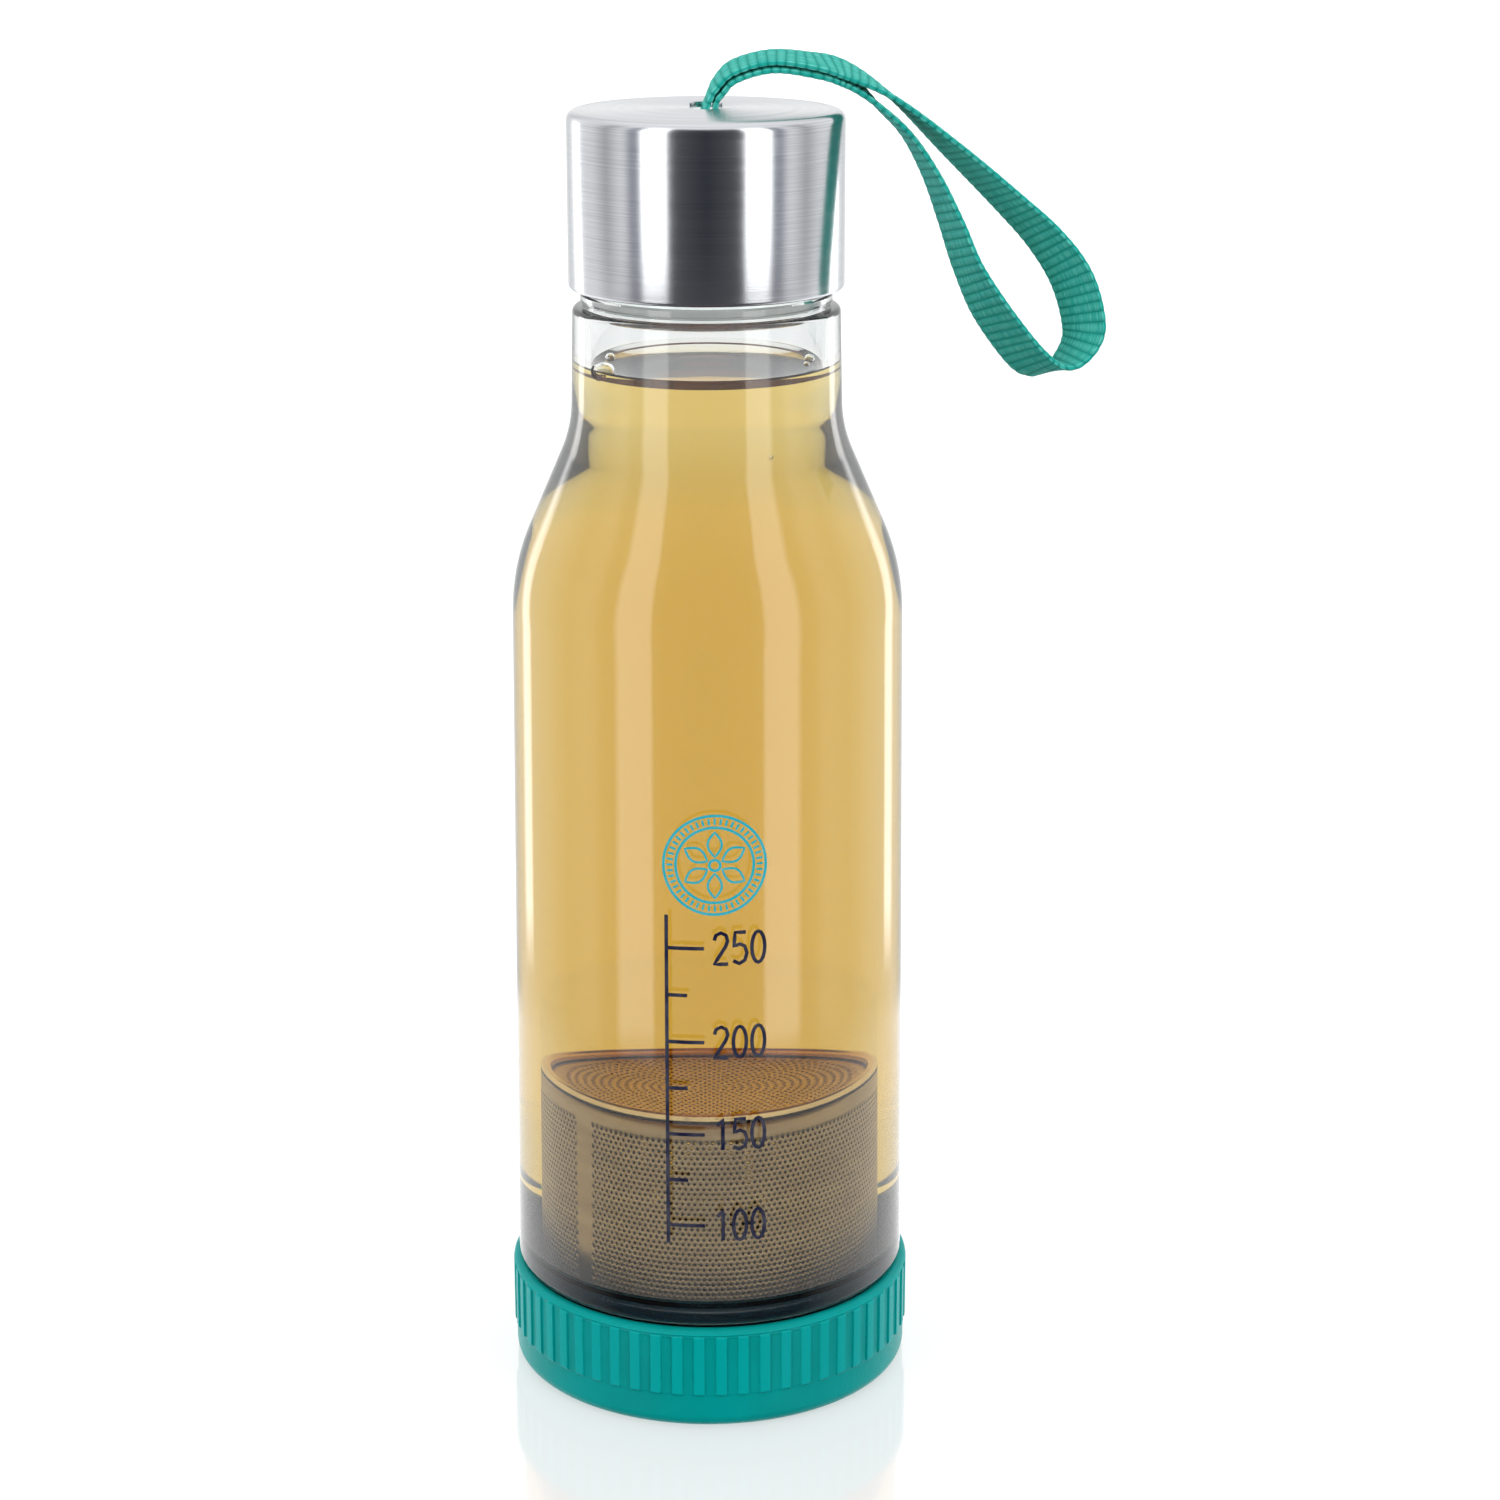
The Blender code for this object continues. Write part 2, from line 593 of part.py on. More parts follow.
def lid_shell(material):
    """The drawn steel cover: a slightly domed top with a slot, and a hem turned in under the liner."""
    bore = LID_RADIUS - LID_SHEET
    outline = rounded([
        (LID_RADIUS, LID_EDGE, LID_TOP_FILLET, 3),
        (LID_RADIUS, LID_FOOT, LID_FOOT_FILLET, 2),
        (bore - HEM_WIDTH, LID_FOOT, HEM_FILLET, 1),
        (bore - HEM_WIDTH, LID_FOOT + LID_TOP_SHEET, 0),
        (bore, LID_FOOT + LID_TOP_SHEET, 0),
        (bore, LID_CEILING, 0),
        (0, LID_CEILING, 0),
        (0, LID_EDGE + LID_DOME, 0),
        (LID_RADIUS / 2, LID_EDGE + LID_DOME * 3 / 4, 0),
    ])
    shell = turned("lid_shell", outline, OUTER_SIDES)
    section = slot_section(SLOT_WIDTH, SLOT_LENGTH, SLOT_OFFSET, SLOT_END_STEPS)
    ends = prism(section, LID_CEILING - CUT_OVERRUN, LID_EDGE + LID_DOME + CUT_OVERRUN)
    combine(shell, add_cutter("slot", loft("slot", ends, closed=False)), "DIFFERENCE")
    return finish(shell, material)


def lid_liner(material):
    """The plastic inside of the lid: thread skirt, hollow plug, and the strap pin's pocket and seats."""
    plug_bore = PLUG_RADIUS - PLUG_WALL
    groove_foot = PLUG_FOOT + PLUG_SEAL_RISE
    groove_top = groove_foot + PLUG_SEAL_HEIGHT + GAP * 2
    outline = rounded([
        (LINER_RADIUS, LINER_TOP, LID_TOP_FILLET, 2),
        (LINER_RADIUS, LINER_FOOT, 0),
        (LINER_BORE, LINER_FOOT, 0),
        (LINER_BORE, LINER_CEILING, 0),
        (PLUG_RADIUS, LINER_CEILING, 0),
        (PLUG_RADIUS, groove_top, 0),
        (PLUG_GROOVE_RADIUS, groove_top, 0),
        (PLUG_GROOVE_RADIUS, groove_foot, 0),
        (PLUG_RADIUS, groove_foot, 0),
        (PLUG_RADIUS, PLUG_FOOT, PLUG_FILLET, 1),
        (plug_bore, PLUG_FOOT, 0),
        (plug_bore, CORE_BOTTOM, 0),
        (0, CORE_BOTTOM, 0),
        (0, LINER_TOP, 0),
    ])
    liner = turned("lid_liner", outline, INNER_SIDES)
    above = LINER_TOP + CUT_OVERRUN
    pocket = box_section(POCKET_WIDTH, STRAP_WIDTH + POCKET_CLEARANCE * 2, SLOT_OFFSET)
    combine(liner, add_cutter("pocket", loft("pocket", prism(pocket, POCKET_BOTTOM, above), closed=False)),
            "DIFFERENCE")
    seat = box_section((PIN_RADIUS + GAP) * 2, PIN_LENGTH + GAP * 2, SLOT_OFFSET)
    seat_floor = PIN_HEIGHT - PIN_RADIUS - GAP
    combine(liner, add_cutter("pin_seat", loft("pin_seat", prism(seat, seat_floor, above), closed=False)),
            "DIFFERENCE")
    height = NECK_TOP + LID_THREAD_RISE - LID_THREAD_WIDTH - GAP
    add_thread(liner, LINER_BORE, LID_THREAD_DEPTH, LID_THREAD_WIDTH, height, LID_THREAD_LEAD,
               LID_THREAD_TURNS, INNER_SIDES, inside=True)
    return finish(liner, material)


def lid_seal(material):
    """The flat ring that closes on the bottle's rim."""
    outer = MOUTH_ROOT + LID_SEAL_OVERHANG
    inner = NECK_BORE - GAP
    outline = rounded([
        (outer, BODY_HEIGHT + GAP + LID_SEAL_THICKNESS, 0),
        (outer, BODY_HEIGHT + GAP, 0),
        (inner, BODY_HEIGHT + GAP, 0),
        (inner, BODY_HEIGHT + GAP + LID_SEAL_THICKNESS, 0),
    ])
    return finish(turned("lid_seal", outline, INNER_SIDES), material)


def plug_seal(material):
    """The ring in the plug's groove, which seals in the bottle's bore."""
    foot = PLUG_FOOT + PLUG_SEAL_RISE + GAP
    outline = rounded([
        (PLUG_SEAL_RADIUS, foot + PLUG_SEAL_HEIGHT, PLUG_FILLET, 1),
        (PLUG_SEAL_RADIUS, foot, PLUG_FILLET, 1),
        (PLUG_SEAL_RADIUS - PLUG_SEAL_THICKNESS, foot, 0),
        (PLUG_SEAL_RADIUS - PLUG_SEAL_THICKNESS, foot + PLUG_SEAL_HEIGHT, 0),
    ])
    return finish(turned("plug_seal", outline, OUTER_SIDES), material)


def strap_pin(material):
    """The round pin across the slot."""
    ends = []
    for end in (-1, 1):
        section = []
        for side in range(PIN_SIDES):
            angle = math.tau * side / PIN_SIDES
            across = PIN_RADIUS * math.cos(angle)
            up = PIN_RADIUS * math.sin(angle)
            section.append((across, end * PIN_LENGTH / 2, up))
        ends.append(section)
    pin = add_object("strap_pin", loft("strap_pin", ends, closed=False))
    return finish(pin, material)


def smooth_route(stops, steps):
    """A smooth closed curve through stops of any length, by Catmull and Rom's rule."""
    count = len(stops)
    route = []
    for index in range(count):
        before, here, after, later = (stops[(index + shift) % count] for shift in (-1, 0, 1, 2))
        for step in range(steps):
            t = step / steps
            point = here * 2
            point += (after - before) * t
            point += (before * 2 - here * 5 + after * 4 - later) * t ** 2
            point += (here * 3 - before - after * 3 + later) * t ** 3
            route.append(point / 2)
    return route


def strap_stops():
    """Where the strap runs, as place and width direction, with the pin's centre as its origin."""
    slot = Vector((0, 0, LID_EDGE + LID_DOME - PIN_HEIGHT))
    outer = [(slot + Vector(row[:3]) * STRAP_REACH, Vector(row[3:])) for row in STRAP_ARC_SHARES]
    loop = [(slot + Vector(row[:3]) * STRAP_REACH, Vector(row[3:])) for row in STRAP_LOOP_SHARES]
    inner = []
    for index, (place, width) in enumerate(outer):
        ahead = outer[min(index + 1, len(outer) - 1)][0]
        behind = outer[max(index - 1, 0)][0]
        normal = (ahead - behind).cross(width).normalized()
        inner.append((place - normal * (STRAP_THICKNESS + GAP), width))
    wrap = []
    for step in range(PIN_WRAP_STEPS + 1):
        angle = math.pi * step / PIN_WRAP_STEPS
        wrap.append((Vector((math.cos(angle), 0, -math.sin(angle))) * STRAP_WRAP, Vector((0, 1, 0))))
    return outer + loop + inner[::-1] + wrap


def strap(material):
    """A woven ribbon sewn to a loop: round the pin, out of the slot and over the lid's edge."""
    stops = strap_stops()
    places = smooth_route([place for place, width in stops], STRAP_STEPS)
    widths = smooth_route([width for place, width in stops], STRAP_STEPS)
    sections = []
    for index, place in enumerate(places):
        along = (places[(index + 1) % len(places)] - places[index - 1]).normalized()
        width = widths[index] - along * widths[index].dot(along)
        across = width.normalized() * STRAP_WIDTH / 2
        through = along.cross(across).normalized() * STRAP_THICKNESS / 2
        sections.append([place - across - through, place + across - through,
                         place + across + through, place - across + through])
    ribbon = add_object("strap", loft("strap", sections, closed=True))
    return finish(ribbon, material)


def add_pivot(name, place, parent=None):
    """An empty on the axis that pieces move about."""
    pivot = bpy.data.objects.new(name, None)
    bpy.context.scene.collection.objects.link(pivot)
    pivot.parent = parent
    pivot.location = Vector(place) - (centre_of(parent) if parent else Vector())
    return pivot


def centre_of(item):
    """Where an unturned item's origin is in the scene."""
    return item.location + (centre_of(item.parent) if item.parent else Vector())


def carry(pivot, pieces):
    """Parents pieces to a pivot, and leaves them where they are."""
    for piece in pieces:
        piece.location = piece.location - centre_of(pivot)
        piece.parent = pivot


def build():
    clear_scene()
    teal_plastic = make_material("teal_plastic", linear(0, 160, 150), 0.35)
    silicone = make_material("clear_silicone", linear(225, 228, 226), 0.5)
    slate_plastic = make_material("slate_plastic", linear(70, 86, 98), 0.3)
    mesh_steel = make_material("perforated_steel", linear(170, 150, 130), 0.3, metallic=1.0)
    clear_plastic = make_material("clear_plastic", linear(238, 242, 242), 0.05, alpha=0.3, transmission=1.0)
    brushed_steel = make_material("brushed_steel", linear(176, 178, 182), 0.28, metallic=1.0)
    liner_plastic = make_material("liner_plastic", linear(214, 218, 220), 0.3)
    dark_rubber = make_material("dark_rubber", linear(34, 34, 40), 0.5)
    pin_steel = make_material("pin_steel", linear(190, 190, 192), 0.25, metallic=1.0)
    teal_webbing = make_material("teal_webbing", linear(24, 160, 150), 0.75)

    cap = base_cap(teal_plastic)
    collar = infuser_collar(slate_plastic)
    gasket = base_gasket(silicone)
    flange = infuser_flange(slate_plastic)
    wall = infuser_wall(mesh_steel)
    disc = infuser_top(mesh_steel)
    bottle = bottle_body(clear_plastic)
    shell = lid_shell(brushed_steel)
    liner = lid_liner(liner_plastic)
    flat_seal = lid_seal(silicone)
    ring_seal = plug_seal(dark_rubber)
    pin = strap_pin(pin_steel)
    ribbon = strap(teal_webbing)
    pin.location = (0, SLOT_OFFSET, PIN_HEIGHT)
    ribbon.location = (0, SLOT_OFFSET, PIN_HEIGHT)

    base_pivot = add_pivot("base_centre", (0, 0, 0))
    infuser_pivot = add_pivot("infuser_lift_axis", (0, 0, INFUSER_FOOT), base_pivot)
    bottle_pivot = add_pivot("bottle_turn_axis", (0, 0, FOOT_BOTTOM), base_pivot)
    lid_pivot = add_pivot("lid_turn_axis", (0, 0, LID_FOOT), bottle_pivot)
    strap_pivot = add_pivot("strap_swing_axis", (0, SLOT_OFFSET, PIN_HEIGHT), lid_pivot)
    carry(base_pivot, [cap, collar])
    carry(infuser_pivot, [flange, wall, disc])
    carry(bottle_pivot, [bottle, gasket])
    carry(lid_pivot, [shell, liner, flat_seal, ring_seal, pin])
    carry(strap_pivot, [ribbon])


build()
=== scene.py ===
# %% [markdown]
# # A tea infuser bottle
# The object is a clear bottle, open at both ends, that screws down on a ribbed teal cap. On the cap stands
# a steel infuser with a slate collar, and a steel lid with a woven wrist strap closes the mouth. The packed
# model comes in first, and every piece below is built in its frame, in metres, so nothing has to be fitted
# by eye.

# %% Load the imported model
import math

import bmesh
import bpy
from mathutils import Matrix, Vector


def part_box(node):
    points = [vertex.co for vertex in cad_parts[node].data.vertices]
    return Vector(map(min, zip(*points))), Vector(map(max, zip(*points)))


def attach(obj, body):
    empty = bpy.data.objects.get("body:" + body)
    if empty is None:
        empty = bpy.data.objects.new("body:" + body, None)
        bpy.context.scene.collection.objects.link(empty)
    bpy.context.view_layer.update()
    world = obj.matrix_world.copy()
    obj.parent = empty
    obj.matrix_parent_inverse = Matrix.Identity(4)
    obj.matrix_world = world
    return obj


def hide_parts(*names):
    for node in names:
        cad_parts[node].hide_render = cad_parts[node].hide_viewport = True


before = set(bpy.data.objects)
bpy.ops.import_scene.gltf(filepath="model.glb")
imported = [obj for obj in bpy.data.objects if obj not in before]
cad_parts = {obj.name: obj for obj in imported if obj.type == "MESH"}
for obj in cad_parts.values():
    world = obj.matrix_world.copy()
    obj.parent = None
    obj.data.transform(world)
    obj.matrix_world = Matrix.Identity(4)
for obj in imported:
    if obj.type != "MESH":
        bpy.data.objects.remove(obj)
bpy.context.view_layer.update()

# %% [markdown]
# ## Helpers
# Nearly every piece here is turned, like work on a lathe, or is a skin through rows of points. One could
# model each from a cylinder and edit it by hand. Short functions that turn an outline are exact instead,
# and they let a formula push the surface in or out, which is how the ribs and threads are made without any
# cutting.

# %% Colours and places
SCREEN_GAMMA = 2.2
ROUND_SIDES = 192


def shade(red, green, blue):
    """A screen colour of 0 to 255 in each channel, as the light that a shader counts in."""
    return tuple((value / 255) ** SCREEN_GAMMA for value in (red, green, blue))


def ease(value, start, end):
    """Runs smoothly from 0 at start to 1 at end."""
    share = min(1, max(0, (value - start) / (end - start)))
    return share * share * (3 - 2 * share)


def even_angles(sides):
    return [math.tau * index / sides for index in range(sides)]


def on_circle(radius, angle, height):
    """The place at a distance from the axis, in a direction and at a height."""
    return radius * math.cos(angle), radius * math.sin(angle), height


print("a turned piece steps by", round(math.degrees(even_angles(ROUND_SIDES)[1]), 3), "degrees")

# %% Outlines
ARC_STEP = 0.0005
LEAST_ARC_STEPS = 3
MOST_ARC_STEPS = 20


def rounded(corners):
    """The outline through corners of radius, height and fillet, with each fillet drawn as an arc."""
    outline = []
    for index, (radius, height, fillet) in enumerate(corners):
        corner = Vector((radius, height))
        if not fillet:
            outline.append(corner)
            continue
        back = (Vector(corners[index - 1][:2]) - corner).normalized()
        ahead = (Vector(corners[(index + 1) % len(corners)][:2]) - corner).normalized()
        half = back.angle(ahead) / 2
        centre = corner + (back + ahead).normalized() * fillet / math.sin(half)
        first = (corner + back * fillet / math.tan(half) - centre).normalized()
        last = (corner + ahead * fillet / math.tan(half) - centre).normalized()
        turn = math.pi - 2 * half
        count = round(fillet * turn / ARC_STEP)
        count = min(MOST_ARC_STEPS, max(LEAST_ARC_STEPS, count))
        for step in range(count + 1):
            outline.append(centre + first.slerp(last, step / count) * fillet)
    return outline


def with_rows(outline, spacing, bottom, top):
    """The same outline, with more points wherever it runs up or down between two heights."""
    finer = []
    for here, after in zip(outline, outline[1:] + outline[:1]):
        finer.append(here)
        low = max(bottom, min(here.y, after.y))
        high = min(top, max(here.y, after.y))
        if high - low < spacing:
            continue
        count = math.ceil((high - low) / spacing)
        heights = [low + (high - low) * step / count for step in range(count + 1)]
        if after.y < here.y:
            heights.reverse()
        for height in heights:
            share = (height - here.y) / (after.y - here.y)
            if 0 < share < 1:
                finer.append(here.lerp(after, share))
    return finer


print("a fillet's arc has", LEAST_ARC_STEPS, "to", MOST_ARC_STEPS, "steps")

# %% Pieces
SHARP_ANGLE = math.radians(38)
WELD = 0.0000002


def add_piece(name, mesh, material, body, slot=None, replaced=()):
    """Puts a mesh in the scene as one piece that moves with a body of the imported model."""
    piece = bpy.data.objects.new(name, mesh)
    bpy.context.scene.collection.objects.link(piece)
    mesh.materials.append(material)
    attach(piece, body)
    if replaced:
        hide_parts(*replaced)
    print(f"{name}: {len(mesh.polygons)} faces, on {body}")
    return piece


def settle(mesh):
    """Welds points that meet, turns all faces outwards, and shades the mesh smooth with crisp edges."""
    shape = bmesh.new()
    shape.from_mesh(mesh)
    bmesh.ops.remove_doubles(shape, verts=shape.verts, dist=WELD)
    bmesh.ops.dissolve_degenerate(shape, dist=WELD, edges=shape.edges)
    bmesh.ops.recalc_face_normals(shape, faces=shape.faces)
    shape.to_mesh(mesh)
    shape.free()
    mesh.shade_smooth()
    mesh.set_sharp_from_angle(angle=SHARP_ANGLE)
    return mesh


print("edges stay crisp from", round(math.degrees(SHARP_ANGLE)), "degrees")

# %% Skins and turned pieces
GUARD = 0.00012
LEAST_GUARDED_RUN = 6 * GUARD


def skin(name, rows, joined):
    """A surface through rows of points that run round. joined: the last row meets the first."""
    count = len(rows[0])
    pairs = list(zip(range(len(rows)), range(1, len(rows))))
    if joined:
        pairs.append((len(rows) - 1, 0))
    faces = []
    for here, following in pairs:
        for index in range(count):
            after = (index + 1) % count
            faces.append((here * count + index, here * count + after,
                          following * count + after, following * count + index))
    mesh = bpy.data.meshes.new(name)
    mesh.from_pydata([tuple(point) for row in rows for point in row], [], faces)
    return mesh


def guarded(outline, closed):
    """The outline with a point near both ends of each straight run, where smooth shading can bend."""
    guards = []
    for here, after in zip(outline, outline[1:] + outline[:1]):
        guards.append(here)
        run = (Vector(after) - Vector(here)).length
        if run > LEAST_GUARDED_RUN:
            guards.append(Vector(here).lerp(Vector(after), GUARD / run))
            guards.append(Vector(after).lerp(Vector(here), GUARD / run))
    return guards if closed else guards[:guards.index(outline[-1]) + 1]


def turned(name, outline, angles, relief=None):
    """A mesh turned on the bottle's axis. relief(angle, radius, height) is how proud its surface stands."""
    solid = any(radius == 0 for radius, height in outline)
    rows = []
    for radius, height in guarded(list(outline), closed=not solid):
        row = []
        for angle in angles:
            reach = radius + (relief(angle, radius, height) if relief else 0)
            row.append(on_circle(reach, angle, height))
        rows.append(row)
    return settle(skin(name, rows, joined=not solid))


def add_turned(name, outline, *settings, relief=None):
    """Turns an outline evenly and adds it as a piece."""
    return add_piece(name, turned(name, outline, even_angles(ROUND_SIDES), relief), *settings)


print("a turned piece has", ROUND_SIDES, "sides")

# %% [markdown]
# ## The camera
# The photograph was taken from a little above the lid, looking down at the bottle, with a long lens. A
# camera could be aimed with a Track To constraint, but two plain angles say the same and stay put when
# other views turn the camera round the object.

# %% The camera
CAMERA_PLACE = (0, -0.56135, 0.2769)
CAMERA_PITCH = math.radians(16.54)
CAMERA_YAW = math.radians(0.728)
CAMERA_LENS = 82.4

lens = bpy.data.cameras.new("camera")
lens.lens = CAMERA_LENS
camera = bpy.data.objects.new("camera", lens)
bpy.context.scene.collection.objects.link(camera)
camera.location = CAMERA_PLACE
camera.rotation_euler = (math.pi / 2 - CAMERA_PITCH, 0, -CAMERA_YAW)
bpy.context.scene.camera = camera
bpy.context.scene.view_settings.view_transform = "Standard"
print("camera", round(camera.location.length, 3), "m from the bottle's foot")

# %% [markdown]
# ## Shader helpers
# A material is a small tree of nodes. Placing nodes by hand in the editor works well for one material,
# while functions that add a node and link it keep a dozen of them short and alike.

# %% Nodes and arithmetic
WHITE = (1, 1, 1, 1)


def add_node(tree, kind, values=None, **settings):
    """Adds a shader node. values sets or links its inputs by name or number, settings its own properties."""
    node = tree.nodes.new("ShaderNode" + kind)
    for name, value in settings.items():
        setattr(node, name, value)
    for name, value in (values or {}).items():
        if isinstance(value, bpy.types.NodeSocket):
            tree.links.new(value, node.inputs[name])
        else:
            node.inputs[name].default_value = value
    return node


def figure(tree, operation, *values):
    """One step of arithmetic on sockets or numbers."""
    return add_node(tree, "Math", dict(enumerate(values)), operation=operation).outputs[0]


def stretch(tree, value, low, high, new_low=0.0, new_high=1.0):
    """Maps a value from one range to another, and holds it there."""
    inputs = {"Value": value, "From Min": low, "From Max": high, "To Min": new_low, "To Max": new_high}
    return add_node(tree, "MapRange", inputs).outputs[0]


def blend(tree, share, first, second):
    """A colour between two, by a share that varies over the surface."""
    mixer = add_node(tree, "Mix", data_type="RGBA")
    for socket, value in zip((mixer.inputs[0], mixer.inputs[6], mixer.inputs[7]), (share, first, second)):
        if isinstance(value, bpy.types.NodeSocket):
            tree.links.new(value, socket)
        else:
            socket.default_value = value
    return mixer.outputs[2]


def from_axis(tree, x, y):
    """How far a place is from the axis."""
    squares = figure(tree, "ADD", figure(tree, "MULTIPLY", x, x), figure(tree, "MULTIPLY", y, y))
    return figure(tree, "SQRT", squares)


def place_of(tree):
    """Where a point of the surface is, as three numbers."""
    place = add_node(tree, "TexCoord").outputs["Object"]
    split = add_node(tree, "SeparateXYZ", {0: place})
    return [split.outputs[name] for name in ("X", "Y", "Z")]


print("helpers for nodes:", figure.__name__, stretch.__name__, blend.__name__)

# %% Materials and node groups


def finish_of(name, colour, roughness, **sockets):
    """A new material on the Principled shader, with its plain numbers set on the shader's own sockets."""
    made = bpy.data.materials.new(name)
    made.use_nodes = True
    shader = made.node_tree.nodes["Principled BSDF"]
    shader.inputs["Base Color"].default_value = (*colour, 1)
    shader.inputs["Roughness"].default_value = roughness
    for socket, value in sockets.items():
        shader.inputs[socket.replace("_", " ")].default_value = value
    return made, made.node_tree, shader


def new_group(name, inputs, outputs):
    """An empty shader node group with named inputs and their defaults, and named outputs."""
    group = bpy.data.node_groups.new(name, "ShaderNodeTree")
    for socket, value in inputs.items():
        made = group.interface.new_socket(socket, in_out="INPUT", socket_type="NodeSocketFloat")
        made.default_value = value
    for socket in outputs:
        group.interface.new_socket(socket, in_out="OUTPUT", socket_type="NodeSocketFloat")
    return group, group.nodes.new("NodeGroupInput"), group.nodes.new("NodeGroupOutput")


def use_group(tree, group, values):
    node = add_node(tree, "Group", node_tree=group)
    for name, value in values.items():
        node.inputs[name].default_value = value
    return node


def raise_surface(tree, shader, height, distance, strength):
    """Feeds a height to the shader's normal through a Bump node."""
    inputs = {"Height": height, "Distance": distance, "Strength": strength}
    bump = add_node(tree, "Bump", inputs)
    tree.links.new(bump.outputs[0], shader.inputs["Normal"])


print("helpers for materials:", finish_of.__name__, new_group.__name__)

# %% [markdown]
# ## The studio
# The lid is a curved mirror, so what stands round the bottle in the studio can be read from its bands: a
# dark room behind the camera, a tall soft light to each side of it, grey walls, and two white panels behind
# the bottle, which give its edges their crisp white lines. Area lamps and boards could stand there. The
# world does it with less noise: it is painted by direction. The camera, and rays that pass through the
# glass, see white.

# %% What stands round the bottle
STUDIO_STRENGTH = 4.0
STUDIO_BANDS = (
    (0, (0.009, 0.010, 0.013)),
    (27, (0.024, 0.025, 0.027)),
    (31.5, (0.07, 0.07, 0.07)),
    (34, (0.80, 0.80, 0.79)),
    (52.5, (0.80, 0.80, 0.79)),
    (57, (0.085, 0.09, 0.10)),
    (64, (0.085, 0.09, 0.10)),
    (71, (0.245, 0.245, 0.245)),
    (76, (0.245, 0.245, 0.245)),
    (90, (0.13, 0.13, 0.13)),
    (106, (0.24, 0.24, 0.24)),
    (141, (0.29, 0.29, 0.29)),
    (156, (0.20, 0.205, 0.205)),
    (180, (0.26, 0.26, 0.26)),
)
PANEL_SIDES = (127, 129.5, 136, 142)
PANEL_ENDS = (-0.34, -0.32, 0.10, 0.15)
TABLE_EDGE = (-0.355, -0.345)
TABLE_FRONT = (0.025, 0.025, 0.027, 1)
TABLE = (0.15, 0.15, 0.15, 1)
TABLE_SHINE = (0.36, 0.36, 0.36, 1)
TABLE_START = (56, 110)
CEILING_START = 0.62
CEILING_END = 0.8
CEILING = (0.3, 0.3, 0.3, 1)
print("bands from the front to the back:", len(STUDIO_BANDS))

# %% Paint the world
world = bpy.data.worlds.new("studio")
bpy.context.scene.world = world
world.use_nodes = True
tree = world.node_tree
tree.nodes.clear()
direction = add_node(tree, "TexCoord").outputs["Generated"]
split = add_node(tree, "SeparateXYZ", {0: direction})
rise = split.outputs["Z"]
towards_camera = figure(tree, "MULTIPLY", split.outputs["Y"], -1)
turn_from_camera = figure(tree, "ABSOLUTE", figure(tree, "ARCTAN2", split.outputs["X"], towards_camera))
degrees = figure(tree, "DEGREES", turn_from_camera)
bands = add_node(tree, "ValToRGB", {0: figure(tree, "DIVIDE", turn_from_camera, math.pi)})
stops = bands.color_ramp.elements
while len(stops) < len(STUDIO_BANDS):
    stops.new(1)
for stop, (place, colour) in zip(stops, STUDIO_BANDS):
    stop.position = place / 180
    stop.color = (*colour, 1)
path = add_node(tree, "LightPath")


def between(value, limits):
    """1 between the middle two of four limits, and 0 outside the outer two."""
    up = stretch(tree, value, limits[0], limits[1])
    return figure(tree, "MULTIPLY", up, stretch(tree, value, limits[2], limits[3], 1.0, 0.0))


in_panel = figure(tree, "MULTIPLY", between(degrees, PANEL_SIDES), between(rise, PANEL_ENDS))
in_panel = figure(tree, "MULTIPLY", in_panel, path.outputs["Is Glossy Ray"])
painted = blend(tree, in_panel, bands.outputs[0], WHITE)
painted = blend(tree, stretch(tree, rise, CEILING_START, CEILING_END), painted, CEILING)
table = blend(tree, path.outputs["Is Glossy Ray"], TABLE, TABLE_SHINE)
table = blend(tree, stretch(tree, degrees, *TABLE_START), TABLE_FRONT, table)
painted = blend(tree, stretch(tree, rise, *TABLE_EDGE), table, painted)
studio = add_node(tree, "Background", {"Color": painted, "Strength": STUDIO_STRENGTH})
white = add_node(tree, "Background", {"Color": WHITE, "Strength": 1.0})
seen = figure(tree, "MAXIMUM", path.outputs["Is Camera Ray"], path.outputs["Is Transmission Ray"])
either = add_node(tree, "MixShader", {0: seen, 1: studio.outputs[0], 2: white.outputs[0]})
add_node(tree, "OutputWorld", {"Surface": either.outputs[0]})
print("world:", world.name, "with", len(tree.nodes), "nodes")

# %% [markdown]
# ## The floor
# The bottle stands on white acrylic: almost pure white, with a pale reflection of the cap that blurs as it
# goes down, and a light shadow. A plane in a plain diffuse white would lose the reflection. This one keeps
# a glossy coat, and adds the rest of its white only for what the camera sees. Through the bottle it is
# plain white, and light from below passes it, as it does a lit table.

# %% The floor
FLOOR_REACH = 6.0
FLOOR_DROP = 0.00005
FLOOR_GREY = 0.37
FLOOR_GLOW = 0.56
FLOOR_GLOSS = 0.09
FLOOR_INDEX = 2.4

corners = [(-FLOOR_REACH, -FLOOR_REACH), (FLOOR_REACH, -FLOOR_REACH),
           (FLOOR_REACH, FLOOR_REACH), (-FLOOR_REACH, FLOOR_REACH)]
floor_mesh = bpy.data.meshes.new("floor")
floor_mesh.from_pydata([(x, y, -FLOOR_DROP) for x, y in corners], [], [(0, 1, 2, 3)])
floor = bpy.data.objects.new("floor", floor_mesh)
bpy.context.scene.collection.objects.link(floor)
white_table, tree, shader = finish_of("white_table", (FLOOR_GREY,) * 3, FLOOR_GLOSS,
                                      Emission_Color=WHITE, Emission_Strength=FLOOR_GLOW,
                                      IOR=FLOOR_INDEX)
path = add_node(tree, "LightPath")
seen = figure(tree, "MAXIMUM", path.outputs["Is Camera Ray"], path.outputs["Is Transmission Ray"])
clear = add_node(tree, "BsdfTransparent")
plain = add_node(tree, "Emission", {"Color": WHITE, "Strength": 1.0})
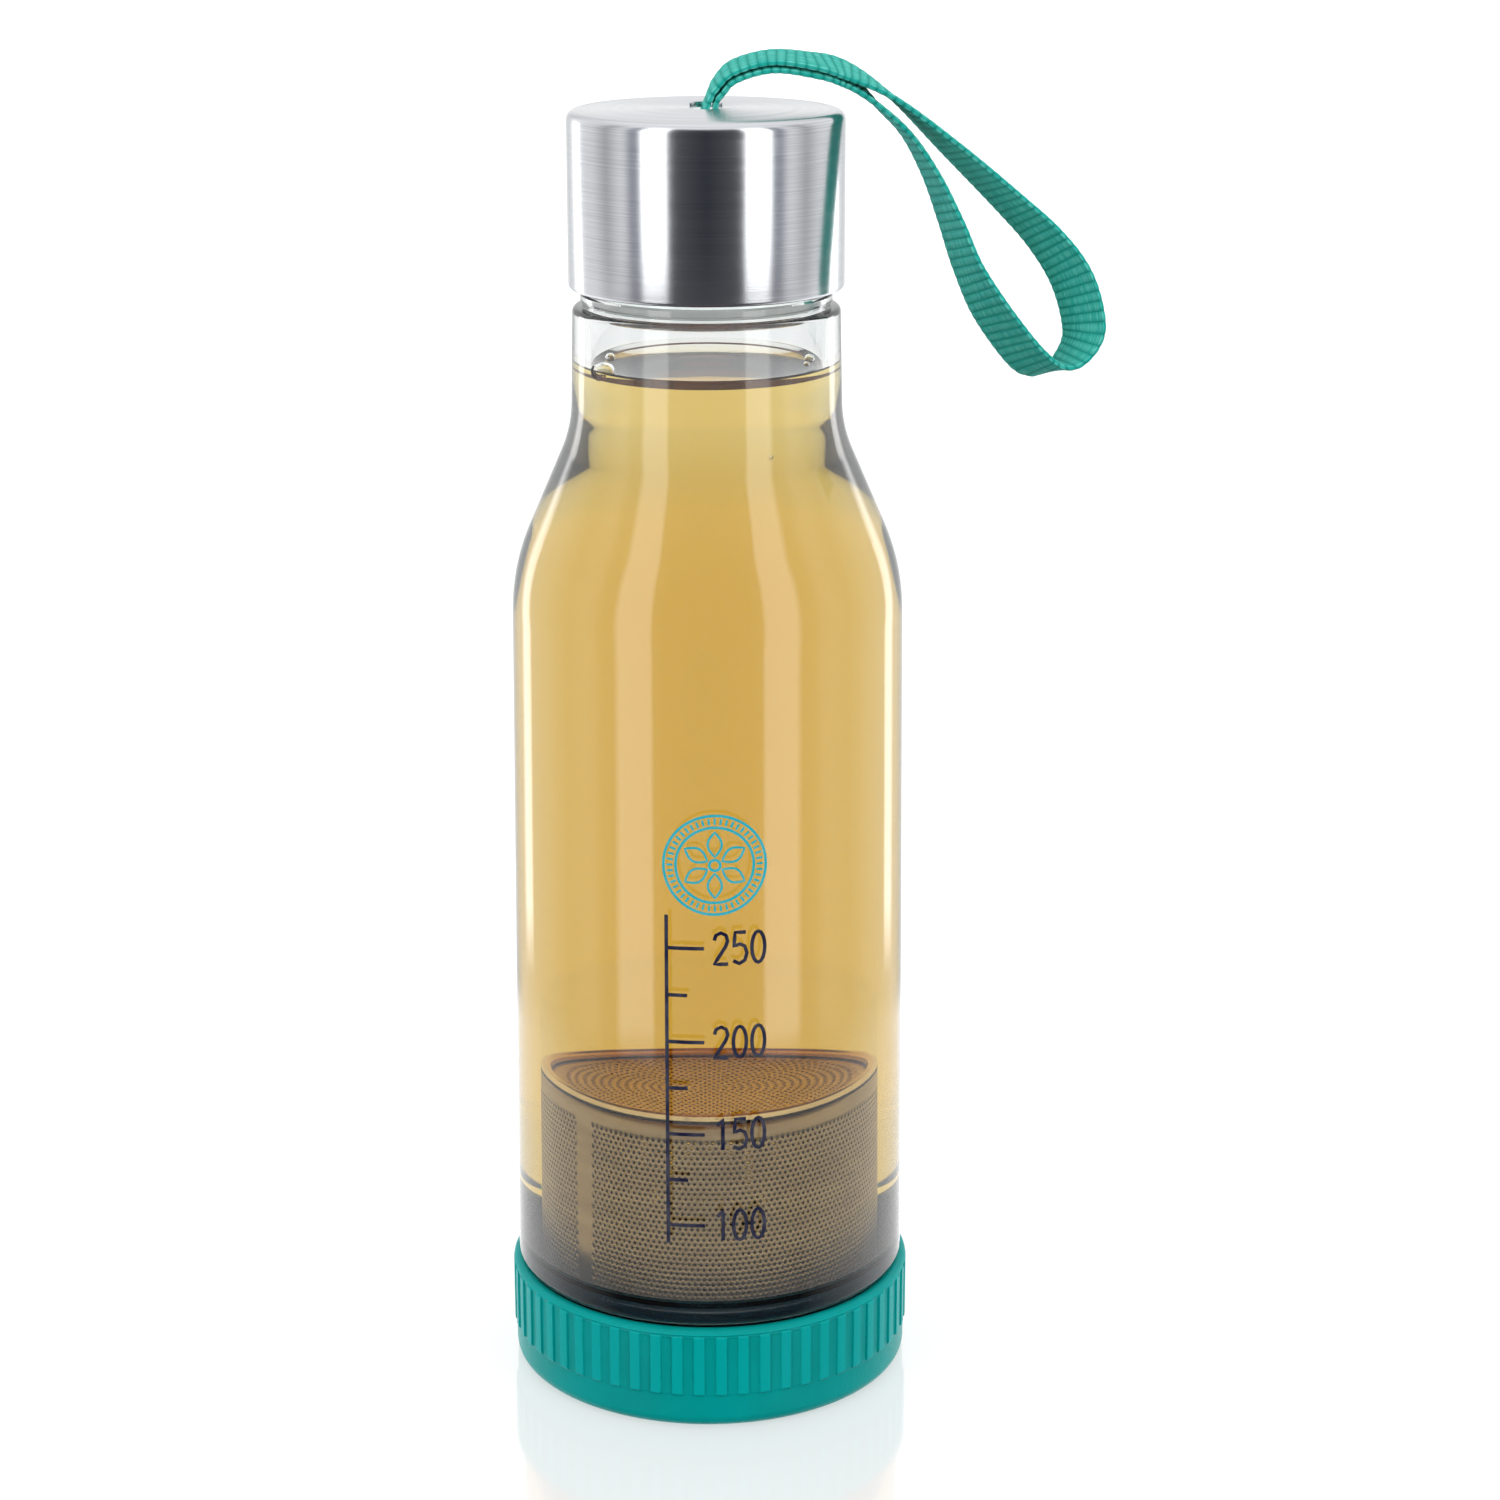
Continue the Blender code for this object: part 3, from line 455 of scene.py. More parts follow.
looked_at = add_node(tree, "MixShader",
                     {0: path.outputs["Is Camera Ray"], 1: plain.outputs[0], 2: shader.outputs[0]})
either = add_node(tree, "MixShader", {0: seen, 1: clear.outputs[0], 2: looked_at.outputs[0]})
tree.links.new(either.outputs[0], tree.nodes["Material Output"].inputs["Surface"])
floor_mesh.materials.append(white_table)
print("floor at", -FLOOR_DROP)

# %% [markdown]
# ## Effects that several finishes share
# Moulded plastic and rubber are never one flat colour: the mould's texture gives fine grain, and the colour
# drifts a little from place to place. Turned and brushed steel has hair-fine lines that run round the axis.
# Each effect is a node group, built once. Nearly every finish uses one the same way, so a function lays the
# finish out, and each material gives it its own values.

# %% The grain of moulded surfaces
GRAIN_DETAIL = 3.0
PATCH_DETAIL = 2.0
GRAIN_SPAN = (0.3, 0.7)
PATCH_SPAN = (0.35, 0.65)

group, given, result = new_group("moulded_grain", {"Grain size": 0.0003, "Patch size": 0.01},
                                 ["Grain", "Patches"])
place = add_node(group, "TexCoord").outputs["Object"]
for size, detail, made, span in (("Grain size", GRAIN_DETAIL, "Grain", GRAIN_SPAN),
                                 ("Patch size", PATCH_DETAIL, "Patches", PATCH_SPAN)):
    scale = figure(group, "DIVIDE", 1, given.outputs[size])
    noise = add_node(group, "TexNoise", {"Vector": place, "Scale": scale, "Detail": detail})
    group.links.new(stretch(group, noise.outputs[0], *span), result.inputs[made])
moulded_grain = group
print(group.name, [socket.name for socket in given.outputs if socket.name])

# %% The lines of brushed steel
LINE_SPAN = (0.25, 0.75)
BAND_SPAN = (0.3, 0.7)
BAND_LINES = 12
LINE_DETAIL = 2.0
BAND_DETAIL = 1.0

group, given, result = new_group("brushed_round", {"Line width": 0.0001, "Line length": 0.02},
                                 ["Lines", "Bands"])
x, y, z = place_of(group)
across_lines = figure(group, "ADD", from_axis(group, x, y), z)


def lines_of(width, length, detail):
    """Noise drawn out along circles round the axis. It runs across the lines by radius plus height."""
    spot = add_node(group, "CombineXYZ", {
        "X": figure(group, "DIVIDE", x, length),
        "Y": figure(group, "DIVIDE", y, length),
        "Z": figure(group, "DIVIDE", across_lines, width)})
    inputs = {"Vector": spot.outputs[0], "Scale": 1.0, "Detail": detail}
    return add_node(group, "TexNoise", inputs).outputs[0]


width, length = given.outputs["Line width"], given.outputs["Line length"]
fine = lines_of(width, length, LINE_DETAIL)
coarse = lines_of(figure(group, "MULTIPLY", width, BAND_LINES), length, BAND_DETAIL)
group.links.new(stretch(group, fine, *LINE_SPAN), result.inputs["Lines"])
group.links.new(stretch(group, coarse, *BAND_SPAN), result.inputs["Bands"])
brushed_round = group
print(group.name, [socket.name for socket in given.outputs if socket.name])

# %% Finishes made with them


def laid_out(name, group, sizes, shares, colours, roughness, bump, sockets):
    """A finish with a group in it: one output mixes the colours, the other varies the roughness."""
    base = sum(roughness) / 2 if isinstance(roughness, tuple) else roughness
    made, tree, shader = finish_of(name, colours[0], base, **sockets)
    source = use_group(tree, group, sizes)
    mixed, varied = (source.outputs[share] for share in shares)
    first, second = ((*colour, 1) for colour in colours)
    tree.links.new(blend(tree, mixed, first, second), shader.inputs["Base Color"])
    if isinstance(roughness, tuple):
        tree.links.new(stretch(tree, varied, 0, 1, *roughness), shader.inputs["Roughness"])
    if bump:
        raise_surface(tree, shader, varied, *bump)
    return made


def mottled(name, colours, roughness, grain_size, patch_size, bump=None, **sockets):
    """A moulded or cast surface: its colour drifts between two in patches, and fine grain dulls it."""
    return laid_out(name, moulded_grain, {"Grain size": grain_size, "Patch size": patch_size},
                    ("Patches", "Grain"), colours, roughness, bump, sockets)


def spun(name, colours, roughness, width, length, bump=None, **sockets):
    """Steel brushed round the axis, in broad bands of two tones and hair-fine lines."""
    return laid_out(name, brushed_round, {"Line width": width, "Line length": length},
                    ("Bands", "Lines"), colours, roughness, bump, {"Metallic": 1.0, **sockets})


print("finishes ready:", mottled.__name__, spun.__name__)

# %% [markdown]
# ## The ribbed base cap
# The cap is one moulding in teal plastic: a smooth band at the foot, then upright ribs that run into a
# plain lip. Ribs could be an Array of boxes joined on with Booleans, which leaves hard, thin faces. Here
# the cap is turned, and a formula lifts the surface where a rib stands, so each rib has soft sides as a
# mould gives it.

# %% The teal plastic
CAP_TEAL = shade(0, 154, 150)
CAP_TEAL_DRIFT = shade(0, 160, 157)
# The lighter teal of the rib tops is a painted highlight.
CAP_TEAL_RIB_HIGHLIGHT = shade(0, 176, 174)
RIB_HIGHLIGHT_SHARES = (0.8, 0.1)
RIB_HIGHLIGHT_TONE = 0.75
CAP_RIM_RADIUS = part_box("base_cap")[1].x
CAP_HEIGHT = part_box("base_cap")[1].z
RIB_GAP_DEPTH = 0.00033

teal_plastic = mottled("teal_plastic", (CAP_TEAL, CAP_TEAL_DRIFT), roughness=(0.3, 0.46),
                       grain_size=0.0005, patch_size=0.009, bump=(0.00003, 0.5), Specular_IOR_Level=0.08)
tree = teal_plastic.node_tree
base_colour = tree.nodes["Principled BSDF"].inputs["Base Color"]
body_colour = base_colour.links[0].from_socket
x, y, z = place_of(tree)
# The raised rib tops are painted lighter than the gaps, by distance from the axis: a painted highlight on
# the ribs and painted shade in the gaps.
low, high = (CAP_RIM_RADIUS - RIB_GAP_DEPTH * share for share in RIB_HIGHLIGHT_SHARES)
proud = stretch(tree, from_axis(tree, x, y), low, high)
painted_rib_highlight = figure(tree, "MULTIPLY", proud, RIB_HIGHLIGHT_TONE)
tree.links.new(blend(tree, painted_rib_highlight, body_colour, (*CAP_TEAL_RIB_HIGHLIGHT, 1)), base_colour)
print("cap rim radius", round(CAP_RIM_RADIUS, 5))

# %% The cap's ribs and thread
RIB_COUNT = 58
RIB_COLUMN_SHARES = (0, 0.17, 0.222, 0.25, 0.278, 0.34, 0.5, 0.66, 0.722, 0.75, 0.778, 0.83)
RIB_EDGE_SHARES = (0.285, 0.215)
RIB_FOOT = 0.0063
RIB_TOP = 0.017
RIB_END_BLEND = 0.00025
RIB_PROUD = 0.0004
THREAD_STARTS = 2
THREAD_PHASE_SHARE = 0.37
THREAD_FADE_SHARE = 0.14
THREAD_FACETS = 40


def thread(angle, height, foot, lead, turns, width, depth, facets=THREAD_FACETS):
    """How far a thread's ridge stands out at a place. It fades out at both ends."""
    most = 0
    for start in range(THREAD_STARTS):
        turn = (angle / math.tau - start / THREAD_STARTS - THREAD_PHASE_SHARE / facets) % 1
        while turn <= turns:
            share = turn / turns
            fade = min(1, share / THREAD_FADE_SHARE, (1 - share) / THREAD_FADE_SHARE)
            away = abs(height - foot - lead * turn)
            most = max(most, fade * min(1, max(0, (width / 2 - away) / (width / 4))))
            turn += 1
    return depth * most


FOOT_THREAD_DEPTH = 0.0008
FOOT_THREAD_WIDTH = 0.0016
FOOT_THREAD = {"lead": 0.012, "turns": 0.55, "width": FOOT_THREAD_WIDTH, "depth": FOOT_THREAD_DEPTH}
CAP_THREAD_FOOT = 0.0104
CAP_WALL = 0.00225
CAP_BORE = CAP_RIM_RADIUS - CAP_WALL
CAP_BAND_RADIUS = CAP_RIM_RADIUS - RIB_PROUD


def cap_relief(angle, radius, height):
    """Ribs outside, and the thread in the bore."""
    if abs(radius - CAP_BORE) < WELD:
        return -thread(angle, height, CAP_THREAD_FOOT, **FOOT_THREAD, facets=RIB_COUNT)
    if abs(radius - CAP_BAND_RADIUS) > WELD or height < RIB_FOOT - RIB_END_BLEND:
        return 0
    share = angle / math.tau * RIB_COUNT % 1
    rib = ease(min(share, 1 - share), *RIB_EDGE_SHARES)
    lip = ease(height, RIB_TOP - RIB_END_BLEND, RIB_TOP + RIB_END_BLEND)
    gap_floor = RIB_PROUD - RIB_GAP_DEPTH
    foot = ease(height, RIB_FOOT - RIB_END_BLEND, RIB_FOOT + RIB_END_BLEND)
    return foot * (gap_floor + RIB_GAP_DEPTH * max(rib, lip))


print("ribs:", RIB_COUNT, "threads in the bore:", THREAD_STARTS)

# %% The cap
CAP_FLOOR = 0.003
CAP_LIP_FILLET = 0.0013
CAP_CORNER_FILLET = 0.0022
CAP_BORE_FILLET = 0.0006
REST_GROOVE = (0.0235, 0.025, 0.0005)
ROW_STEP = 0.0003
END_ROW_STEP = 0.00008

lip_arc = rounded([
    (CAP_BORE, CAP_HEIGHT, 0),
    (CAP_RIM_RADIUS, CAP_HEIGHT, CAP_LIP_FILLET),
    (CAP_RIM_RADIUS, 0, 0),
])
lip_foot = CAP_HEIGHT - CAP_LIP_FILLET
outline = [point for point in lip_arc[1:-1] if point.y > lip_foot + WELD]
outline += [Vector((CAP_BAND_RADIUS, lip_foot - END_ROW_STEP / 2))]
outline += rounded([
    (CAP_BAND_RADIUS, RIB_FOOT - RIB_END_BLEND * 2, 0),
    (CAP_BAND_RADIUS, 0, CAP_CORNER_FILLET),
    (REST_GROOVE[1], 0, 0),
    (REST_GROOVE[1], REST_GROOVE[2], 0),
    (REST_GROOVE[0], REST_GROOVE[2], 0),
    (REST_GROOVE[0], 0, 0),
    (0, 0, 0),
])
outline += rounded([
    (0, CAP_FLOOR, 0),
    (CAP_BORE, CAP_FLOOR, CAP_BORE_FILLET),
    (CAP_BORE, CAP_HEIGHT, CAP_BORE_FILLET),
    (CAP_RIM_RADIUS - CAP_LIP_FILLET, CAP_HEIGHT, 0),
])[:-1]
outline = with_rows(outline, END_ROW_STEP, RIB_TOP - RIB_END_BLEND, RIB_TOP)
outline = with_rows(outline, END_ROW_STEP, RIB_FOOT - RIB_END_BLEND, RIB_FOOT + RIB_END_BLEND)
outline = with_rows(outline, ROW_STEP, CAP_THREAD_FOOT - FOOT_THREAD_WIDTH, CAP_HEIGHT - CAP_BORE_FILLET)
axis_row = next(index for index, point in enumerate(outline) if point.x == 0)
outline = outline[axis_row + 1:] + outline[:axis_row + 1]
cap_angles = []
for index in range(RIB_COUNT):
    cap_angles += [math.tau * (index + share) / RIB_COUNT for share in RIB_COLUMN_SHARES]
cap_mesh = turned("ribbed_cap", outline, cap_angles, cap_relief)
add_piece("ribbed_cap", cap_mesh, teal_plastic, "base", "teal_plastic", ["base_cap"])

# %% [markdown]
# ## The clear bottle
# The bottle is blown in a clear, hard plastic: a threaded foot inside the cap, a body that narrows a little
# upwards, a shoulder, a neck, and a threaded mouth inside the lid. A clear body shows every facet at its
# rim, so it is turned with many sides and true arcs, as one closed wall with an inside and an outside.

# %% The clear plastic
CLEAR_TINT = shade(250, 252, 252)
CLEAR_HAZE = 0.012
WAVE_DEPTH = 0.00006
WAVE_STRENGTH = 0.2

clear_plastic, tree, shader = finish_of("clear_plastic", CLEAR_TINT, 0.0, Transmission_Weight=1.0, IOR=1.5)
grain = use_group(tree, moulded_grain, {"Grain size": 0.002, "Patch size": 0.03})
tree.links.new(stretch(tree, grain.outputs["Patches"], 0, 1, 0.0, CLEAR_HAZE), shader.inputs["Roughness"])
raise_surface(tree, shader, grain.outputs["Patches"], WAVE_DEPTH, WAVE_STRENGTH)
print(clear_plastic.name, "tint", CLEAR_TINT)

# %% The bottle's foot, body and shoulder
FOOT_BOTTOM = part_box("bottle_body")[0].z
MOUTH_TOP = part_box("bottle_body")[1].z
BODY_FOOT_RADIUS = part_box("bottle_body")[1].x
BODY_TOP_RADIUS = 0.0327
BODY_WALL = 0.0022
BODY_FOOT_FILLET = 0.0012
THREAD_PLAY = 0.0004
GAP = 0.0003
FOOT_TOP = CAP_HEIGHT + GAP
FOOT_ROOT = CAP_BORE - THREAD_PLAY - FOOT_THREAD_DEPTH
FOOT_WALL = 0.0018
FOOT_BORE = FOOT_ROOT - FOOT_WALL
FOOT_FILLET = 0.0004
FOOT_STEP = 0.002
MOUTH_HEIGHT = 0.0271
NECK_HEIGHT = 0.0201
SHOULDER_HEIGHT = 0.0236
NECK_TOP = MOUTH_TOP - MOUTH_HEIGHT
SHOULDER_TOP = NECK_TOP - NECK_HEIGHT
SHOULDER_FOOT = SHOULDER_TOP - SHOULDER_HEIGHT
SHOULDER_TOP_BEND = 0.022
SHOULDER_FOOT_BEND = 0.036
print("shoulder from", round(SHOULDER_FOOT, 4), "to", round(SHOULDER_TOP, 4), "m")

# %% The bottle's neck, mouth and threads
NECK_TOP_RADIUS = 0.02206
NECK_FOOT_RADIUS = 0.0225
NECK_FILLET = 0.0008
NECK_BORE = 0.0192
MOUTH_WALL = 0.0012
MOUTH_ROOT = NECK_BORE + MOUTH_WALL
MOUTH_FILLET = 0.0004
LEDGE_FILLET = 0.0003
INNER_FILLET = 0.001
BEAD_RISE = 0.00065
BEAD_FOOT = NECK_TOP + BEAD_RISE
BEAD_HEIGHT = 0.0018
BEAD_PROUD = 0.00033
MOUTH_THREAD_LEAD = 0.0095
MOUTH_THREAD_TURNS = 0.75
MOUTH_THREAD_WIDTH = 0.0013
MOUTH_THREAD = {"lead": MOUTH_THREAD_LEAD, "turns": MOUTH_THREAD_TURNS, "width": MOUTH_THREAD_WIDTH,
                "depth": 0.0006}
MOUTH_THREAD_RISE = 0.0095
MOUTH_THREAD_FOOT = NECK_TOP + MOUTH_THREAD_RISE
FOOT_THREAD_RISE = 0.0034
FOOT_THREAD_FOOT = FOOT_BOTTOM + FOOT_THREAD_RISE


def bottle_relief(angle, radius, height):
    """The thread on the foot and the thread on the mouth."""
    if abs(radius - FOOT_ROOT) < WELD:
        return thread(angle, height, FOOT_THREAD_FOOT, **FOOT_THREAD)
    if abs(radius - MOUTH_ROOT) < WELD:
        return thread(angle, height, MOUTH_THREAD_FOOT, **MOUTH_THREAD)
    return 0


print("threads start at", round(FOOT_THREAD_FOOT, 4), "and", round(MOUTH_THREAD_FOOT, 4), "m")

# %% Turn the bottle
inner_foot = BODY_FOOT_RADIUS - BODY_WALL
inner_top = BODY_TOP_RADIUS - BODY_WALL
inner_corners = [
    (FOOT_BORE, FOOT_TOP + FOOT_STEP, INNER_FILLET),
    (inner_foot, FOOT_TOP + FOOT_STEP + inner_foot - FOOT_BORE, INNER_FILLET),
    (inner_top, SHOULDER_FOOT, SHOULDER_FOOT_BEND - BODY_WALL),
    (NECK_BORE, SHOULDER_TOP - BODY_WALL / 2, SHOULDER_TOP_BEND + BODY_WALL),
]
outline = rounded([
    (MOUTH_ROOT, MOUTH_TOP, MOUTH_FILLET),
    (MOUTH_ROOT, BEAD_FOOT + BEAD_HEIGHT, 0),
    (MOUTH_ROOT + BEAD_PROUD, BEAD_FOOT + BEAD_HEIGHT - BEAD_PROUD, BEAD_PROUD / 2),
    (MOUTH_ROOT + BEAD_PROUD, BEAD_FOOT + BEAD_PROUD, BEAD_PROUD / 2),
    (MOUTH_ROOT, BEAD_FOOT, 0),
    (MOUTH_ROOT, NECK_TOP, LEDGE_FILLET),
    (NECK_TOP_RADIUS, NECK_TOP, NECK_FILLET),
    (NECK_FOOT_RADIUS, SHOULDER_TOP, SHOULDER_TOP_BEND),
    (BODY_TOP_RADIUS, SHOULDER_FOOT, SHOULDER_FOOT_BEND),
    (BODY_FOOT_RADIUS, FOOT_TOP, BODY_FOOT_FILLET),
    (FOOT_ROOT, FOOT_TOP, 0),
    (FOOT_ROOT, FOOT_BOTTOM, FOOT_FILLET),
    (FOOT_BORE, FOOT_BOTTOM, FOOT_FILLET),
    *inner_corners,
    (NECK_BORE, MOUTH_TOP, MOUTH_FILLET),
])
outline = with_rows(outline, ROW_STEP, FOOT_THREAD_FOOT - FOOT_THREAD_WIDTH, FOOT_TOP - FOOT_THREAD_WIDTH)
outline = with_rows(outline, ROW_STEP, MOUTH_THREAD_FOOT - MOUTH_THREAD_WIDTH,
                    MOUTH_THREAD_FOOT + MOUTH_THREAD_LEAD * MOUTH_THREAD_TURNS + MOUTH_THREAD_WIDTH)
add_turned("clear_bottle", outline, clear_plastic, "bottle", "clear_plastic", ["bottle_body"],
           relief=bottle_relief)

# %% [markdown]
# ## The print on the bottle
# A turquoise ring and a navy scale for the volume are printed on the front. Printing is a film of ink,
# which an image could show. Here each stroke is a thin closed strip of mesh that follows the wall, a few
# hundredths of a millimetre proud of it, so the edges stay crisp close up and the print turns with the
# bottle.

# %% Ink, and places on the bottle's wall
INK_FOOT = 0.00002
INK_TOP = 0.00007
INK_STEP = 0.001
INK_DRIFT = 0.05


def ink(name, colour):
    """An ink, a little uneven, as it is when it is screened on."""
    thin = Vector(colour).lerp(Vector((1, 1, 1)), INK_DRIFT)
    return mottled(name, (colour, thin), roughness=(0.34, 0.5), grain_size=0.0002, patch_size=0.003,
                   Specular_IOR_Level=0.25)


def on_wall(place, proud):
    """The point at a place on the bottle's front, given along the wall and by height, proud of the wall."""
    share = (place.y - FOOT_TOP) / (SHOULDER_FOOT - FOOT_TOP)
    radius = BODY_FOOT_RADIUS + (BODY_TOP_RADIUS - BODY_FOOT_RADIUS) * share
    return on_circle(radius + proud, place.x / radius - math.pi / 2, place.y)


print("ink stands from", INK_FOOT, "to", INK_TOP, "m proud of the wall")

# %% Strokes


def add_stroke(points, faces, line, width, closed=False):
    """Adds one stroke of ink along a line of places, as a closed strip."""
    places = []
    ends = list(zip(line, line[1:] + line[:1])) if closed else list(zip(line, line[1:]))
    for here, after in ends:
        here, after = Vector(here), Vector(after)
        count = math.ceil((after - here).length / INK_STEP)
        places += [here.lerp(after, step / count) for step in range(count)]
    if not closed:
        places.append(Vector(line[-1]))
    first = len(points)
    last = len(places) - 1
    for index, place in enumerate(places):
        behind = places[index - 1] if index or closed else place
        ahead = places[(index + 1) % len(places)] if index < last or closed else place
        side = (ahead - behind).normalized().orthogonal() * width / 2
        points += [on_wall(place + side, INK_FOOT), on_wall(place + side, INK_TOP),
                   on_wall(place - side, INK_TOP), on_wall(place - side, INK_FOOT)]
    for index in range(len(places) if closed else last):
        here = first + 4 * index
        after = first + 4 * ((index + 1) % len(places))
        for corner in range(4):
            beside = (corner + 1) % 4
            faces.append((here + corner, here + beside, after + beside, after + corner))
    if not closed:
        faces.append((first + 3, first + 2, first + 1, first))
        end = first + 4 * last
        faces.append((end, end + 1, end + 2, end + 3))


def add_print(name, strokes, material):
    points = []
    faces = []
    for line, width, closed in strokes:
        add_stroke(points, faces, line, width, closed)
    mesh = bpy.data.meshes.new(name)
    mesh.from_pydata(points, [], faces)
    return add_piece(name, settle(mesh), material, "bottle")


print("strokes follow the wall in steps of", INK_STEP, "m")

# %% The turquoise ring
TURQUOISE = shade(36, 186, 204)
RING_MIDDLE = Vector((0.001, 0.1005))
RING_RADII = (0.0084, 0.0064, 0.0009)
RING_LINE = 0.00046
DASH_COUNT = 48
DASH_ENDS = (0.0069, 0.0079)
DASH_LINE = 0.00038
PETALS = 6
PETAL_ENDS = (0.0014, 0.0056)
PETAL_HALF_WIDTH = 0.00115
PETAL_STEPS = 10
CIRCLE_STEPS = 72


def spoke(angle, reach, aside=0.0):
    """A place in the ring, by its direction from the middle, its distance and a step to the side."""
    ahead = Vector((math.cos(angle), math.sin(angle)))
    return RING_MIDDLE + ahead * reach + Vector((-ahead.y, ahead.x)) * aside


strokes = []
for radius in RING_RADII:
    circle = [spoke(math.tau * step / CIRCLE_STEPS, radius) for step in range(CIRCLE_STEPS)]
    strokes.append((circle, RING_LINE, True))
for index in range(DASH_COUNT):
    angle = math.tau * index / DASH_COUNT
    strokes.append(([spoke(angle, reach) for reach in DASH_ENDS], DASH_LINE, False))
for index in range(PETALS):
    angle = math.tau * (index + 0.5) / PETALS
    petal = []
    for step in range(2 * PETAL_STEPS):
        share = step / PETAL_STEPS
        along = share if share <= 1 else 2 - share
        reach = PETAL_ENDS[0] + (PETAL_ENDS[1] - PETAL_ENDS[0]) * along
        petal.append(spoke(angle, reach, PETAL_HALF_WIDTH * math.sin(math.pi * share)))
    strokes.append((petal, DASH_LINE, True))
add_print("ring_print", strokes, ink("turquoise_ink", TURQUOISE))

# %% The navy scale
NAVY = shade(25, 30, 60)
SCALE_FOOT = 0.0339
SCALE_TOP = 0.0919
SCALE_LEFT = -0.007
SCALE_LINE = 0.00062
FIRST_MARK = 0.0372
MARK_STEP = 0.00817
LONG_MARK = 0.0062
SHORT_MARK = 0.0034
NUMERALS = ("100", "150", "200", "250")
NUMERAL_HEIGHT = 0.0054
NUMERAL_WIDTH = 0.0042
NUMERAL_STEP = 0.0031
NUMERAL_LEFT = 0.0007
NOUGHT_STEPS = 16
NOUGHT_SHARES = (0.3, 0.26, 0.5, 0.5)
FIGURE_SHARES = {
    "1": [(0.12, 0.8), (0.36, 1.0), (0.36, 0.0)],
    "2": [(0.04, 0.76), (0.1, 0.92), (0.3, 1.0), (0.5, 0.92), (0.56, 0.74), (0.48, 0.56), (0.04, 0.0),
          (0.58, 0.0)],
    "5": [(0.54, 1.0), (0.12, 1.0), (0.07, 0.55), (0.3, 0.63), (0.5, 0.55), (0.58, 0.33), (0.5, 0.1),
          (0.28, 0.0), (0.04, 0.1)],
    "0": [],
}
middle, half_width, centre, half_height = NOUGHT_SHARES
for angle in even_angles(NOUGHT_STEPS):
    across, up = middle + half_width * math.cos(angle), centre + half_height * math.sin(angle)
    FIGURE_SHARES["0"].append((across, up))

strokes = [([(SCALE_LEFT, SCALE_FOOT), (SCALE_LEFT, SCALE_TOP)], SCALE_LINE, False)]
for index in range(2 * len(NUMERALS) - 1):
    height = FIRST_MARK + MARK_STEP * index
    reach = SHORT_MARK if index % 2 else LONG_MARK
    strokes.append(([(SCALE_LEFT, height), (SCALE_LEFT + reach, height)], SCALE_LINE, False))
for index, numeral in enumerate(NUMERALS):
    foot = FIRST_MARK + 2 * MARK_STEP * index - NUMERAL_HEIGHT / 2
    for place, digit in enumerate(numeral):
        left = NUMERAL_LEFT + NUMERAL_STEP * place
        line = [(left + across * NUMERAL_WIDTH, foot + up * NUMERAL_HEIGHT)
                for across, up in FIGURE_SHARES[digit]]
        strokes.append((line, SCALE_LINE, digit == "0"))
add_print("scale_print", strokes, ink("navy_ink", NAVY))

# %% [markdown]
# ## The tea
# The tea fills the bottle to the middle of the neck. Its colour comes from depth, as in a real drink: light
# loses blue and some green for each millimetre it goes, so the middle is darker than the sides. A coloured
# glass surface would tint both alike. The tea's skin runs just inside the bottle's wall, so that light
# bends once there and not twice, and the air bubbles in it are hollows.

# %% The tea
TEA_LEVEL = 0.176
TEA_IN_WALL = 0.0001
TEA_FLOOR = CAP_FLOOR + GAP
TEA_FOOT_INSET = 0.0006
TEA_FOOT_RADIUS = FOOT_BORE - TEA_FOOT_INSET
MENISCUS_RISE = 0.0015
MENISCUS_DECAY = 0.0027
MENISCUS_DECAYS = 4
MENISCUS_STEPS = 16
TEA_DENSITY = 56.0
TEA_TINT = (0.907, 0.750, 0.15, 1)

tea, tree, shader = finish_of("tea", (1, 1, 1), 0.0, Transmission_Weight=1.0, IOR=1.33)
depth = add_node(tree, "VolumeAbsorption", {"Color": TEA_TINT, "Density": TEA_DENSITY})
tree.links.new(depth.outputs[0], tree.nodes["Material Output"].inputs["Volume"])

surface = []
for step in range(MENISCUS_STEPS):
    from_wall = MENISCUS_DECAY * MENISCUS_DECAYS * (step / MENISCUS_STEPS) ** 2
    height = TEA_LEVEL + MENISCUS_RISE * math.exp(-from_wall / MENISCUS_DECAY)
    surface.append(Vector((NECK_BORE + TEA_IN_WALL - from_wall, height)))
inner = rounded([(FOOT_BORE, FOOT_BOTTOM, 0), *inner_corners, (NECK_BORE, TEA_LEVEL, 0)])[1:-1]
outline = [
    Vector((0, TEA_FLOOR)),
    Vector((TEA_FOOT_RADIUS, TEA_FLOOR)),
    Vector((TEA_FOOT_RADIUS, FOOT_BOTTOM)),
    Vector((FOOT_BORE + TEA_IN_WALL, FOOT_BOTTOM + FOOT_FILLET)),
]
outline += [Vector((point.x + TEA_IN_WALL, point.y)) for point in inner]
outline += surface + [Vector((0, TEA_LEVEL))]
tea_mesh = turned("tea", outline, even_angles(ROUND_SIDES))
print("tea up to", TEA_LEVEL, "m")

# %% Bubbles in it
BUBBLES = (
    (-0.0158, -0.0089, 0.1772, 0.0015),
    (-0.0152, -0.0072, 0.1792, 0.0007),
    (-0.0148, -0.0101, 0.1799, 0.0005),
    (0.0160, -0.0076, 0.1790, 0.0007),
    (0.0153, -0.0098, 0.1785, 0.0004),
    (0.0095, -0.0155, 0.1640, 0.0004),
)
shape = bmesh.new()
shape.from_mesh(tea_mesh)
for x, y, z, size in BUBBLES:
    made = bmesh.ops.create_icosphere(shape, subdivisions=3, radius=size)
    bmesh.ops.translate(shape, verts=made["verts"], vec=(x, y, z))
    skin_of_bubble = {face for corner in made["verts"] for face in corner.link_faces}
    bmesh.ops.reverse_faces(shape, faces=list(skin_of_bubble))
    for face in skin_of_bubble:
        face.smooth = True
shape.to_mesh(tea_mesh)
shape.free()
add_piece("tea", tea_mesh, tea, "bottle")
